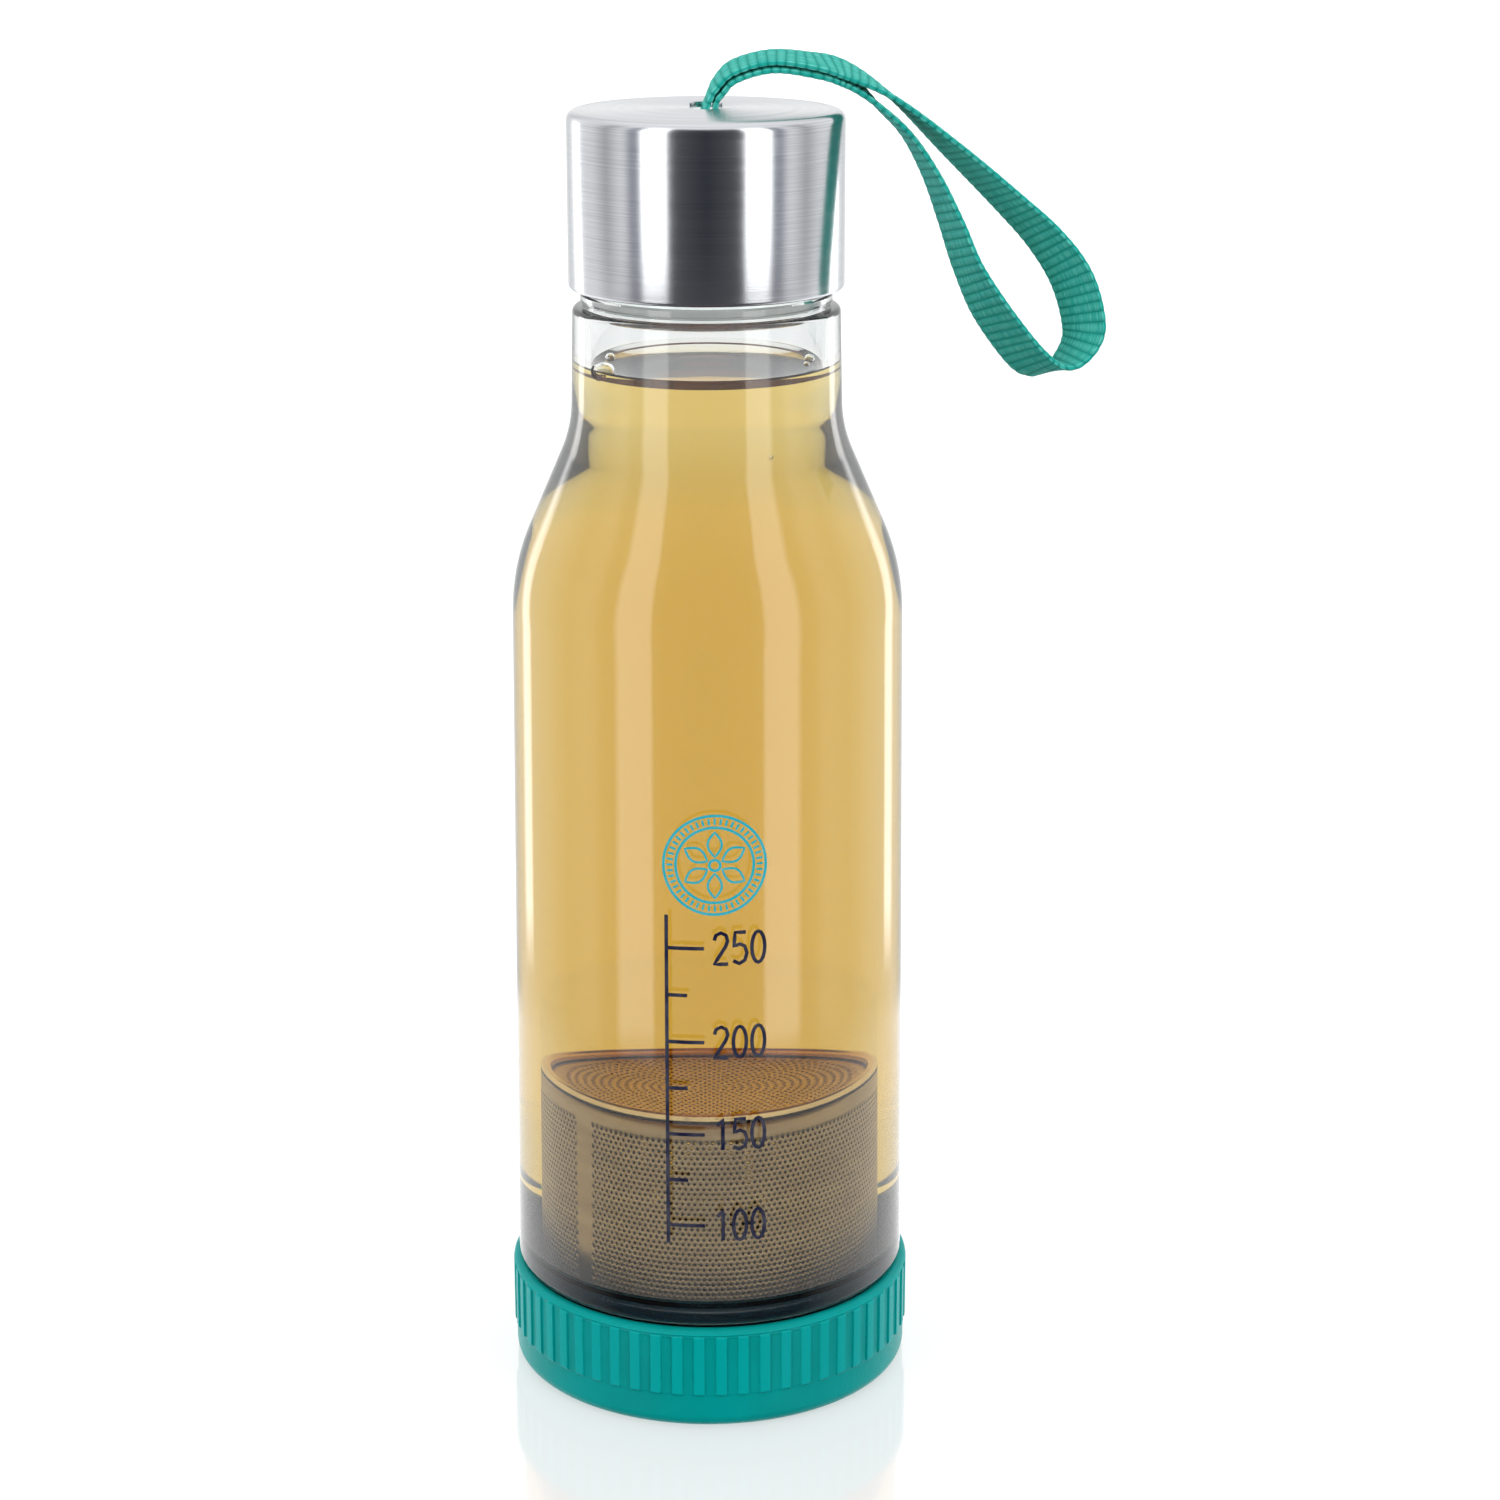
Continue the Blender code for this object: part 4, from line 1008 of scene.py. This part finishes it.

# %% The dark line where the tea meets the wall, a painted shade
WATERLINE_SHADE_BROWNS = (shade(112, 54, 38), shade(130, 70, 46))
LINE_WIDTH = 0.0005
LINE_FROM_WALL = 0.00015
LINE_LEAST = 0.0003
LINE_FRONT = 0.001

tea_edge = mottled("tea_edge", WATERLINE_SHADE_BROWNS, roughness=0.3, grain_size=0.0004, patch_size=0.004,
                   Alpha=0.8, Specular_IOR_Level=0.1)
line_rows = []
# The line is painted shade where the meniscus bends the view, taller towards the front, where the camera
# looks from.
for from_wall, at_top in ((LINE_WIDTH, 0), (0, 0), (0, 1), (LINE_WIDTH, 1)):
    radius = NECK_BORE - LINE_FROM_WALL - from_wall
    row = []
    for angle in even_angles(ROUND_SIDES):
        top = LINE_LEAST + LINE_FRONT * max(0, -math.sin(angle)) ** 2
        row.append(on_circle(radius, angle, TEA_LEVEL + top * at_top))
    line_rows.append(row)
line_mesh = settle(skin("tea_waterline", line_rows, joined=True))
add_piece("tea_waterline", line_mesh, tea_edge, "bottle")

# %% [markdown]
# ## The infuser
# Steel sheet, rolled to a tube and welded along one side, with some six thousand punched holes in staggered
# rows. Cutting each hole with a Boolean would take minutes. Here the hole centres form a net of triangles,
# and each hole opens by moving the net's corners apart round its centre: the net's lines become the steel
# bridges between the holes, and what is left open is the holes.

# %% The perforated steel
STEEL_SHEET = 0.0005
WALL_GREYS = (shade(160, 145, 142), shade(176, 161, 158))
perforated_steel = spun("perforated_steel", WALL_GREYS, roughness=(0.26, 0.4), width=0.0002,
                        length=0.01, bump=(0.00002, 0.4))


def perforated(name, centres, triangles, sizes):
    """A sheet through a net of hole centres, open by each hole's size. A size of nothing leaves it plain."""
    points = []
    faces = []
    sides = {}
    for corners in triangles:
        middle = sum((centres[corner] for corner in corners), Vector()) / 3
        made = {}
        for corner in corners:
            made[corner] = len(points)
            points.append(centres[corner] + (middle - centres[corner]).normalized() * sizes[corner])
        faces.append(tuple(made[corner] for corner in corners))
        for first, second in zip(corners, corners[1:] + corners[:1]):
            if (second, first) in sides:
                ahead, behind = sides[second, first]
                faces.append((made[second], made[first], behind, ahead))
            else:
                sides[first, second] = (made[first], made[second])
    mesh = bpy.data.meshes.new(name)
    mesh.from_pydata([tuple(point) for point in points], [], faces)
    return settle(mesh)


def with_thickness(piece, inside):
    """Thickens a sheet inwards with a Solidify modifier, and gives its inside and holes a finish."""
    piece.data.materials.append(inside)
    sheet = piece.modifiers.new("sheet", "SOLIDIFY")
    sheet.thickness = STEEL_SHEET
    sheet.offset = -1
    sheet.material_offset = 1
    sheet.material_offset_rim = 1


print("steel sheet of", STEEL_SHEET, "m")

# %% The inside in painted shade, and the polished top in painted light
# The inside of the tube and the walls of its holes are painted dark brown: painted shade inside the infuser,
# which makes the holes read dark.
INSIDE_SHADE_BROWNS = (shade(58, 40, 32), shade(80, 56, 44))
# The disc and its rim are painted lighter than the wall's steel: a painted highlight on the upward disc and
# the bead, on top of their smoother polish.
POLISHED_LIT_GREYS = (shade(214, 196, 184), shade(230, 214, 204))
stained_steel = mottled("stained_steel", INSIDE_SHADE_BROWNS, roughness=(0.45, 0.65), grain_size=0.0004,
                        patch_size=0.004, Metallic=0.3)
polished_steel = spun("polished_steel", POLISHED_LIT_GREYS, roughness=(0.16, 0.26), width=0.0002, length=0.01)
print("finishes:", stained_steel.name, polished_steel.name)

# %% The infuser's wall
INFUSER_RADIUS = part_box("infuser_wall")[1].x
WALL_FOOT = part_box("infuser_wall")[0].z
WALL_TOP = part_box("infuser_wall")[1].z
WALL_COLUMNS = 146
HOLE_RADIUS = 0.00027
HOLE_ROW_STEP = 0.00093
FIRST_ROW_DROP = 0.0035
LAST_ROW_RISE = 0.003
SEAM_AZIMUTH = math.radians(211.4)
SEAM_HALF_WIDTH = 0.002

row_count = int((WALL_TOP - FIRST_ROW_DROP - WALL_FOOT - LAST_ROW_RISE) / HOLE_ROW_STEP) + 1
heights = [WALL_TOP - FIRST_ROW_DROP - HOLE_ROW_STEP * row for row in range(-1, row_count + 1)]
heights = [WALL_TOP] + heights + [WALL_FOOT]
centres = []
sizes = []
for row, height in enumerate(heights):
    for column in range(WALL_COLUMNS):
        angle = math.tau * (column + row % 2 / 2) / WALL_COLUMNS
        spot = Vector((math.cos(angle), math.sin(angle), 0)) * INFUSER_RADIUS
        centres.append(spot + Vector((0, 0, height)))
        from_seam = abs((angle - SEAM_AZIMUTH + math.pi) % math.tau - math.pi) * INFUSER_RADIUS
        plain = row < 2 or row > row_count + 1 or from_seam < SEAM_HALF_WIDTH
        sizes.append(0 if plain else HOLE_RADIUS)
triangles = []
for row in range(len(heights) - 1):
    for column in range(WALL_COLUMNS):
        after = (column + 1) % WALL_COLUMNS
        here, low = row * WALL_COLUMNS, (row + 1) * WALL_COLUMNS
        if row % 2:
            triangles.append((here + column, low + after, here + after))
            triangles.append((here + column, low + column, low + after))
        else:
            triangles.append((here + column, low + column, here + after))
            triangles.append((here + after, low + column, low + after))
wall_mesh = perforated("infuser_tube", centres, triangles, sizes)
wall = add_piece("infuser_tube", wall_mesh, perforated_steel, "infuser", "perforated_steel",
                 ["infuser_wall"])
with_thickness(wall, stained_steel)
print("holes in the wall:", sum(1 for size in sizes if size))

# %% The infuser's disc
DISC_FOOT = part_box("infuser_top")[0].z
RIM_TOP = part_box("infuser_top")[1].z
RIM_BEAD = RIM_TOP - DISC_FOOT
DISC_SECTORS = 6
DISC_RINGS = 17
DISC_RING_STEP = 0.00106
DISC_HOLE_RADIUS = 0.00025
DISC_EDGE = INFUSER_RADIUS - RIM_BEAD / 2

centres = [Vector((0, 0, DISC_FOOT))]
sizes = [DISC_HOLE_RADIUS]
ring_start = [0]
for ring in range(1, DISC_RINGS + 2):
    ring_start.append(len(centres))
    edge = ring > DISC_RINGS
    reach = DISC_EDGE if edge else DISC_RING_STEP * ring
    for angle in even_angles(DISC_SECTORS * ring):
        centres.append(Vector(on_circle(reach, angle, DISC_FOOT)))
        sizes.append(0 if edge else DISC_HOLE_RADIUS)
triangles = []
for ring in range(1, DISC_RINGS + 2):
    inner_count = max(1, DISC_SECTORS * (ring - 1))
    for sector in range(DISC_SECTORS):
        for step in range(ring):
            first = ring_start[ring] + sector * ring + step
            second = ring_start[ring] + (sector * ring + step + 1) % (DISC_SECTORS * ring)
            inside = ring_start[ring - 1] + (sector * (ring - 1) + step) % inner_count
            triangles.append((first, second, inside))
            if step:
                before = ring_start[ring - 1] + (sector * (ring - 1) + step - 1) % inner_count
                triangles.append((first, inside, before))
disc_mesh = perforated("infuser_disc", centres, triangles, sizes)
disc = add_piece("infuser_disc", disc_mesh, polished_steel, "infuser", "perforated_steel",
                 ["infuser_top"])
with_thickness(disc, stained_steel)
print("holes in the disc:", sum(1 for size in sizes if size))

# %% The infuser's rim
RIM_ROUND_SHARES = (0.49, 0.25)

over, under = (RIM_BEAD * share for share in RIM_ROUND_SHARES)
bead = rounded([
    (INFUSER_RADIUS, RIM_TOP, over),
    (INFUSER_RADIUS, DISC_FOOT, under),
    (INFUSER_RADIUS - RIM_BEAD, DISC_FOOT, under),
    (INFUSER_RADIUS - RIM_BEAD, RIM_TOP, over),
])
add_turned("infuser_rim", bead, polished_steel, "infuser", "perforated_steel")

# %% [markdown]
# ## The slate collar and the infuser's foot
# A dark, see-through ring stands on the cap's floor round the infuser's foot. Light that goes through it is
# dimmed and blue. True coloured glass would bend the view of the holes behind it a second time inside the
# tea, which it doesn't in the photograph, so the ring is partly see-through instead.

# %% The collar
SLATES = (shade(32, 84, 112), shade(44, 96, 122))
COLLAR_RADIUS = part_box("infuser_collar")[1].x
COLLAR_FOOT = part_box("infuser_collar")[0].z
COLLAR_RIM_DROP = 0.0028
COLLAR_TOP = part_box("infuser_collar")[1].z - COLLAR_RIM_DROP
COLLAR_WALL = 0.0014
COLLAR_FILLET = 0.00045
FOOT_ROUNDING = 0.0003
COLLAR_BORE = COLLAR_RADIUS - COLLAR_WALL
LEDGE_WIDTH = 0.003
LEDGE_THICKNESS = 0.0027

slate_plastic = mottled("slate_plastic", SLATES, roughness=(0.2, 0.32), grain_size=0.0006,
                        patch_size=0.008, Alpha=0.6, Specular_IOR_Level=0.2)
collar_outline = rounded([
    (COLLAR_RADIUS, COLLAR_TOP, COLLAR_FILLET),
    (COLLAR_RADIUS, COLLAR_FOOT, FOOT_ROUNDING),
    (COLLAR_BORE - LEDGE_WIDTH, COLLAR_FOOT, 0),
    (COLLAR_BORE - LEDGE_WIDTH, COLLAR_FOOT + LEDGE_THICKNESS, 0),
    (COLLAR_BORE, COLLAR_FOOT + LEDGE_THICKNESS, 0),
    (COLLAR_BORE, COLLAR_TOP, COLLAR_FILLET),
])
add_turned("slate_collar", collar_outline, slate_plastic, "base", "slate_plastic", ["infuser_collar"])

# %% The infuser's foot
FLANGE_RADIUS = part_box("infuser_flange")[1].x
FLANGE_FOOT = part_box("infuser_flange")[0].z
SLEEVE_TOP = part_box("infuser_flange")[1].z
FLANGE_THICKNESS = 0.0011
SLEEVE_BORE = INFUSER_RADIUS + GAP
SLEEVE_WALL = 0.0005
SLEEVE_FILLET = 0.0002
SLEEVE_RADIUS = SLEEVE_BORE + SLEEVE_WALL
flange_outline = rounded([
    (SLEEVE_RADIUS, SLEEVE_TOP, SLEEVE_FILLET),
    (SLEEVE_RADIUS, FLANGE_FOOT + FLANGE_THICKNESS, 0),
    (FLANGE_RADIUS, FLANGE_FOOT + FLANGE_THICKNESS, FOOT_ROUNDING),
    (FLANGE_RADIUS, FLANGE_FOOT, 0),
    (SLEEVE_BORE, FLANGE_FOOT, 0),
    (SLEEVE_BORE, SLEEVE_TOP, 0),
])
add_turned("infuser_foot_ring", flange_outline, slate_plastic, "infuser", "slate_plastic",
           ["infuser_flange"])

# %% [markdown]
# ## The lid
# The lid is a cup of drawn steel, brushed while it turned, so fine lines run round its side and in circles
# on its top. They spread each highlight up and down and leave its left and right edges crisp. The slot for
# the strap could be cut with a Boolean, but on a mirror-like top its long thin faces would show. So the top
# is woven from rings that pass smoothly from the slot's outline to the lid's circle.

# %% The brushed steel
LID_GREYS = (shade(189, 191, 196), shade(212, 214, 218))
LID_ROUGHNESS = (0.19, 0.23)
LID_RELIEF = 0.000004
LID_RELIEF_STRENGTH = 0.35

brushed_steel, tree, shader = finish_of("brushed_steel", LID_GREYS[0], LID_ROUGHNESS[0], Metallic=1.0,
                                        Anisotropic=0.75, Anisotropic_Rotation=0.25)
brushing = use_group(tree, brushed_round, {"Line width": 0.00009, "Line length": 0.03})
tangent = add_node(tree, "Tangent", direction_type="RADIAL", axis="Z")
tree.links.new(tangent.outputs[0], shader.inputs["Tangent"])
dark, bright = ((*colour, 1) for colour in LID_GREYS)
tree.links.new(blend(tree, brushing.outputs["Lines"], dark, bright), shader.inputs["Base Color"])
tree.links.new(stretch(tree, brushing.outputs["Bands"], 0, 1, *LID_ROUGHNESS), shader.inputs["Roughness"])
raise_surface(tree, shader, brushing.outputs["Lines"], LID_RELIEF, LID_RELIEF_STRENGTH)
print(brushed_steel.name, "roughness", LID_ROUGHNESS)

# %% Rows round the slot and round the lid
LID_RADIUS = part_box("lid_shell")[1].x
LID_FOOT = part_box("lid_shell")[0].z
LID_RISE = 0.0046
LID_EDGE = MOUTH_TOP + LID_RISE
LID_DOME = 0.0004
LID_SHEET = 0.00045
LID_TOP_SHEET = 0.0006
LID_TOP_FILLET = 0.0014
LID_FOOT_FILLET = 0.0006
HEM_WIDTH = 0.0007
HEM_FILLET = 0.0003
SLOT_WIDTH = 0.0052
SLOT_LENGTH = 0.013
SLOT_OFFSET = 0.003
SLOT_EDGE = 0.00012
SLOT_EDGE_SHARE = 0.3
TOP_RING_SHARES = (0.0, 0.03, 0.08, 0.16, 0.26, 0.38, 0.5, 0.62, 0.74, 0.86, 1.0)


def slot_reach(angle):
    """How far the slot's edge is from the slot's middle, in a direction."""
    across = abs(math.cos(angle))
    along = abs(math.sin(angle))
    end_radius = SLOT_WIDTH / 2
    straight = SLOT_LENGTH / 2 - end_radius
    if across > 0 and end_radius / across * along <= straight:
        return end_radius / across
    ahead = straight * along
    return ahead + math.sqrt(ahead ** 2 - straight ** 2 + end_radius ** 2)


def dome_height(radius):
    return LID_EDGE + LID_DOME * (1 - (radius / LID_RADIUS) ** 2)


def slot_row(grown, height=None, drop=0.0):
    """A row round the slot. Without a height it lies on the dome, less a drop."""
    row = []
    for angle in even_angles(ROUND_SIDES):
        reach = slot_reach(angle) + grown
        x, y = reach * math.cos(angle), SLOT_OFFSET + reach * math.sin(angle)
        row.append((x, y, dome_height(math.hypot(x, y)) - drop if height is None else height))
    return row


def round_row(radius, height):
    return [on_circle(radius, angle, height) for angle in even_angles(ROUND_SIDES)]


print("the lid's edge is at", round(LID_EDGE, 4), "m")

# %% Weave the lid from rings
ceiling = LID_EDGE - LID_TOP_SHEET
bore = LID_RADIUS - LID_SHEET
slot_edge = slot_row(SLOT_EDGE)
dome_edge = round_row(LID_RADIUS - LID_TOP_FILLET, 0)
edge_step = SLOT_EDGE * SLOT_EDGE_SHARE
rows = [slot_row(0, ceiling), slot_row(0, drop=SLOT_EDGE), slot_row(edge_step, drop=edge_step)]
for share in TOP_RING_SHARES:
    row = []
    for near, far in zip(slot_edge, dome_edge):
        x = near[0] + (far[0] - near[0]) * share
        y = near[1] + (far[1] - near[1]) * share
        row.append((x, y, dome_height(math.hypot(x, y))))
    rows.append(row)
side = rounded([
    (0, LID_EDGE, 0),
    (LID_RADIUS, LID_EDGE, LID_TOP_FILLET),
    (LID_RADIUS, LID_FOOT, LID_FOOT_FILLET),
    (bore - HEM_WIDTH, LID_FOOT, HEM_FILLET),
    (bore - HEM_WIDTH, LID_FOOT + LID_TOP_SHEET, 0),
    (bore, LID_FOOT + LID_TOP_SHEET, 0),
    (bore, ceiling, 0),
])[2:]
rows += [round_row(radius, height) for radius, height in side]
lid_mesh = settle(skin("lid_cover", rows, joined=True))
add_piece("lid_cover", lid_mesh, brushed_steel, "lid", "brushed_steel", ["lid_shell"])

# %% [markdown]
# ## The strap
# A flat woven ribbon runs round the pin in the slot, lies double over the lid, and hangs in a long open
# loop. Its weft makes a cord across the ribbon every millimetre and a half, and the warp threads run along
# it. Cloth simulation would find its own fold, not the photographed one, so the route is a smooth curve
# through chosen places, and the cords are real ridges in the mesh. Only the threads on them are left to the
# material.

# %% Where the strap goes
STRAP_WIDTH = 0.01
STRAP_THICKNESS = 0.001
STRAP_REACH = 0.066
PIN_RADIUS = 0.001
PIN_DROP = 0.0043
PIN_HEIGHT = ceiling - PIN_DROP
PIN_WRAP_STEPS = 4
ROUTE_STEPS = 40
STRAP_WRAP = PIN_RADIUS + GAP + STRAP_THICKNESS / 2
STRAP_ARC_SHARES = (
    (0.006, 0.0, 0.012, 0.0, 1.0, 0.05),
    (0.027, 0.0, 0.053, 0.0, 1.0, 0.10),
    (0.068, 0.0, 0.091, 0.0, 1.0, 0.11),
    (0.158, 0.0, 0.115, 0.0, 1.0, 0.10),
    (0.256, 0.0, 0.107, 0.0, 1.0, 0.13),
    (0.348, 0.015, 0.081, 0.0, 1.0, 0.17),
)
STRAP_LOOP_SHARES = (
    (0.467, 0.019, 0.012, 0.0, 1.0, -0.09),
    (0.613, 0.045, -0.115, -0.20, 0.98, -0.25),
    (0.757, 0.075, -0.248, -0.35, 0.87, -0.30),
    (0.854, 0.085, -0.345, -0.50, 0.80, -0.30),
    (0.921, 0.078, -0.442, -0.60, 0.74, -0.28),
    (0.952, 0.065, -0.545, -0.62, 0.74, -0.26),
    (0.944, 0.055, -0.604, -0.62, 0.74, -0.26),
    (0.901, 0.040, -0.653, -0.62, 0.74, -0.26),
    (0.850, 0.025, -0.661, -0.62, 0.74, -0.26),
    (0.798, 0.010, -0.623, -0.60, 0.76, -0.26),
    (0.712, -0.010, -0.509, -0.55, 0.80, -0.22),
    (0.653, -0.005, -0.402, -0.42, 0.90, -0.12),
    (0.609, 0.005, -0.289, -0.35, 0.95, -0.05),
    (0.560, 0.012, -0.177, -0.25, 1.0, -0.02),
    (0.500, 0.015, -0.078, -0.12, 1.0, -0.05),
    (0.431, 0.012, -0.009, 0.0, 1.0, -0.09),
)
print("places along the strap:", len(STRAP_ARC_SHARES) + len(STRAP_LOOP_SHARES))

# %% The curve through them


def smooth_route(stops, steps):
    """A smooth closed curve through stops of any length, each stretch bent by the stops round it."""
    count = len(stops)
    route = []
    for index in range(count):
        before, here, after, later = (stops[(index + shift) % count] for shift in (-1, 0, 1, 2))
        for step in range(steps):
            t = step / steps
            point = here * 2
            point += (after - before) * t
            point += (before * 2 - here * 5 + after * 4 - later) * t ** 2
            point += (here * 3 - before - after * 3 + later) * t ** 3
            route.append(point / 2)
    return route


slot_top = Vector((0, 0, LID_EDGE + LID_DOME - PIN_HEIGHT))
over = [(slot_top + Vector(row[:3]) * STRAP_REACH, Vector(row[3:])) for row in STRAP_ARC_SHARES]
loop = [(slot_top + Vector(row[:3]) * STRAP_REACH, Vector(row[3:])) for row in STRAP_LOOP_SHARES]
under = []
for index, (spot, width) in enumerate(over):
    ahead = over[min(index + 1, len(over) - 1)][0]
    behind = over[max(index - 1, 0)][0]
    normal = (ahead - behind).cross(width).normalized()
    under.append((spot - normal * (STRAP_THICKNESS + GAP), width))
wrap = []
for step in range(PIN_WRAP_STEPS + 1):
    angle = math.pi * step / PIN_WRAP_STEPS
    wrap.append((Vector((math.cos(angle), 0, -math.sin(angle))) * STRAP_WRAP, Vector((0, 1, 0))))
stops = over + loop + under[::-1] + wrap
pin_centre = Vector((0, SLOT_OFFSET, PIN_HEIGHT))
route = [pin_centre + spot for spot in smooth_route([spot for spot, width in stops], ROUTE_STEPS)]
widths = smooth_route([width for spot, width in stops], ROUTE_STEPS)
steps_along = [(route[(index + 1) % len(route)] - spot).length for index, spot in enumerate(route)]
strap_length = sum(steps_along)
print("strap, all the way round:", round(strap_length, 4), "m")

# %% The strap's weave
CORD_PITCH = 0.00155
CORD_SAMPLES = 7
CORD_DEPTH_SHARE = 0.15
CORD_ROUNDING = 0.7
CORD_NARROWING = 0.012
THREAD_PITCH = 0.00036
EDGE_STEPS = 5
FACE_STEPS = 8

cord_count = round(strap_length / CORD_PITCH)
section_count = cord_count * CORD_SAMPLES
sections = []
index = 0
walked = 0.0
for section in range(section_count):
    wanted = strap_length * section / section_count
    while walked + steps_along[index] < wanted:
        walked += steps_along[index]
        index += 1
    share = (wanted - walked) / steps_along[index]
    after = (index + 1) % len(route)
    sections.append((route[index].lerp(route[after], share), widths[index].lerp(widths[after], share)))

half_width = STRAP_WIDTH / 2
profile = []
for step in range(FACE_STEPS + 1):
    share = 2 * step / FACE_STEPS - 1
    profile.append((share * (1 - STRAP_THICKNESS / STRAP_WIDTH), 1.0))
for step in range(1, EDGE_STEPS):
    angle = math.pi * step / EDGE_STEPS
    profile.append((1 - STRAP_THICKNESS / STRAP_WIDTH * (1 - math.sin(angle)), math.cos(angle)))
profile += [(-across, -up) for across, up in profile]
print("cords across the strap:", cord_count, "and points round it:", len(profile))

# %% The woven ribbon
rows = []
for section, (spot, width) in enumerate(sections):
    along = (sections[(section + 1) % section_count][0] - sections[section - 1][0]).normalized()
    across = (width - along * width.dot(along)).normalized()
    through = along.cross(across).normalized()
    cord = abs(math.sin(math.pi * section / CORD_SAMPLES)) ** CORD_ROUNDING
    half = STRAP_THICKNESS / 2 * (1 - CORD_DEPTH_SHARE * (1 - cord))
    reach = half_width * (1 - CORD_NARROWING * (1 - cord))
    rows.append([tuple(spot + across * side * reach + through * up * half) for side, up in profile])
strap_mesh = skin("woven_strap", rows, joined=True)
layer = strap_mesh.uv_layers.new(name="weave")
step_length = strap_length / section_count
for face in strap_mesh.polygons:
    row = face.index // len(profile)
    column = face.index % len(profile)
    beside = (column + 1) % len(profile)
    for loop_index, (along_row, around) in zip(face.loop_indices, ((row, column), (row, beside),
                                                                   (row + 1, beside), (row + 1, column))):
        layer.uv[loop_index].vector = (along_row * step_length, (profile[around][0] + 1) * half_width)
settle(strap_mesh)
print("the ribbon has", len(strap_mesh.polygons), "faces")

# %% The strap's finish
# The darkest teal is painted shade in the grooves between cords, and the lightest a painted highlight on the
# thread floats.
WEB_GROOVE_SHADE = shade(0, 142, 128)
WEB_TEAL = shade(0, 180, 166)
WEB_FLOAT_HIGHLIGHT = shade(120, 228, 214)
CORD_SHADING = 0.8
THREAD_SPAN = (0.35, 1.0)
THREAD_RELIEF = 0.0002
THREAD_STRENGTH = 0.8

teal_webbing, tree, shader = finish_of("teal_webbing", WEB_TEAL, 0.7, Specular_IOR_Level=0.12)
layer_place = add_node(tree, "UVMap", uv_map="weave").outputs[0]
split = add_node(tree, "SeparateXYZ", {0: layer_place})
cords = figure(tree, "DIVIDE", split.outputs["X"], strap_length / cord_count)
threads = figure(tree, "DIVIDE", split.outputs["Y"], THREAD_PITCH)


def hump(value):
    """0 at each whole number, and 1 halfway between two."""
    return figure(tree, "ABSOLUTE", figure(tree, "SINE", figure(tree, "MULTIPLY", value, math.pi)))


cord_top = figure(tree, "POWER", hump(cords), CORD_SHADING)
thread_top = hump(threads)
cell = add_node(tree, "CombineXYZ", {
    "X": figure(tree, "FLOOR", cords),
    "Y": figure(tree, "FLOOR", threads)})
chance = add_node(tree, "TexWhiteNoise", {"Vector": cell.outputs[0]}, noise_dimensions="2D")
# The grooves between the cords are painted darker, a painted shade, and the tops of the thread floats
# lighter, a painted highlight that also varies at random from thread to thread.
float_height = figure(tree, "MULTIPLY", cord_top, thread_top)
float_highlight = figure(tree, "MULTIPLY", float_height, stretch(tree, chance.outputs[0], 0, 1, *THREAD_SPAN))
groove_shaded_teal = blend(tree, cord_top, (*WEB_GROOVE_SHADE, 1), (*WEB_TEAL, 1))
tree.links.new(blend(tree, float_highlight, groove_shaded_teal, (*WEB_FLOAT_HIGHLIGHT, 1)), shader.inputs["Base Color"])
raise_surface(tree, shader, float_height, THREAD_RELIEF, THREAD_STRENGTH)
strap = add_piece("woven_strap", strap_mesh, teal_webbing, "strap", "teal_webbing", ["strap"])

# %% [markdown]
# ## The liner, the seals and the pin
# The lid's plug is a milky moulding, its seal is a clear ring with a dark lip, the foot stands on a ring of
# silicone, and a steel pin crosses the slot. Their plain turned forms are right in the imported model, so
# they stay and get materials of their own, and only the lip is added. Milky plastic could be full glass. A
# body that is slightly see-through and glows a little looks the same here and is far quicker.

# %% The milky plastic of the liner
MILKS = (shade(232, 236, 235), shade(238, 242, 241))
# The glow is painted light: it stands in for the light that reaches the plug through the glass and spreads
# in the milky plastic.
liner_plastic = mottled("liner_plastic", MILKS, roughness=(0.24, 0.36), grain_size=0.0005,
                        patch_size=0.006, bump=(0.00001, 0.3), Alpha=0.9,
                        Emission_Color=(*MILKS[0], 1), Emission_Strength=0.5)
print(liner_plastic.name, "glows a little")

# %% The rubber, the silicone and the pin's steel
RUBBERS = (shade(24, 27, 44), shade(34, 37, 56))
SILICONES = (shade(214, 216, 214), shade(222, 224, 222))
PIN_GREYS = (shade(186, 187, 190), shade(200, 201, 204))
dark_rubber = mottled("dark_rubber", RUBBERS, roughness=(0.38, 0.55), grain_size=0.0003,
                      patch_size=0.004, bump=(0.00001, 0.4))
clear_silicone = mottled("clear_silicone", SILICONES, roughness=(0.34, 0.48), grain_size=0.0004,
                         patch_size=0.006, Alpha=0.7)
pin_steel = mottled("pin_steel", PIN_GREYS, roughness=(0.2, 0.34), grain_size=0.0001,
                    patch_size=0.002, Metallic=1.0)
print("finishes:", dark_rubber.name, clear_silicone.name, pin_steel.name)

# %% The dark lip of the plug's seal
SEAL_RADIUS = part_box("plug_seal")[1].x
SEAL_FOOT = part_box("plug_seal")[0].z
LIP_HEIGHT = 0.00025
LIP_WIDTH = 0.0007
LIP_INSET = 0.0003
lip_outline = [
    (SEAL_RADIUS - LIP_INSET, SEAL_FOOT),
    (SEAL_RADIUS - LIP_INSET, SEAL_FOOT - LIP_HEIGHT),
    (SEAL_RADIUS - LIP_INSET - LIP_WIDTH, SEAL_FOOT - LIP_HEIGHT),
    (SEAL_RADIUS - LIP_INSET - LIP_WIDTH, SEAL_FOOT),
]
add_turned("plug_seal_lip", lip_outline, dark_rubber, "lid", "dark_rubber")

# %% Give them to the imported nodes
KEPT_NODES = {
    "lid_liner": liner_plastic,
    "lid_seal": clear_silicone,
    "plug_seal": clear_silicone,
    "base_gasket": clear_silicone,
    "strap_pin": pin_steel,
}
for name, finish in KEPT_NODES.items():
    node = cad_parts[name]
    if not node.material_slots:
        node.data.materials.append(finish)
    for holder in node.material_slots:
        holder.material = finish
    print(name, "gets", finish.name)
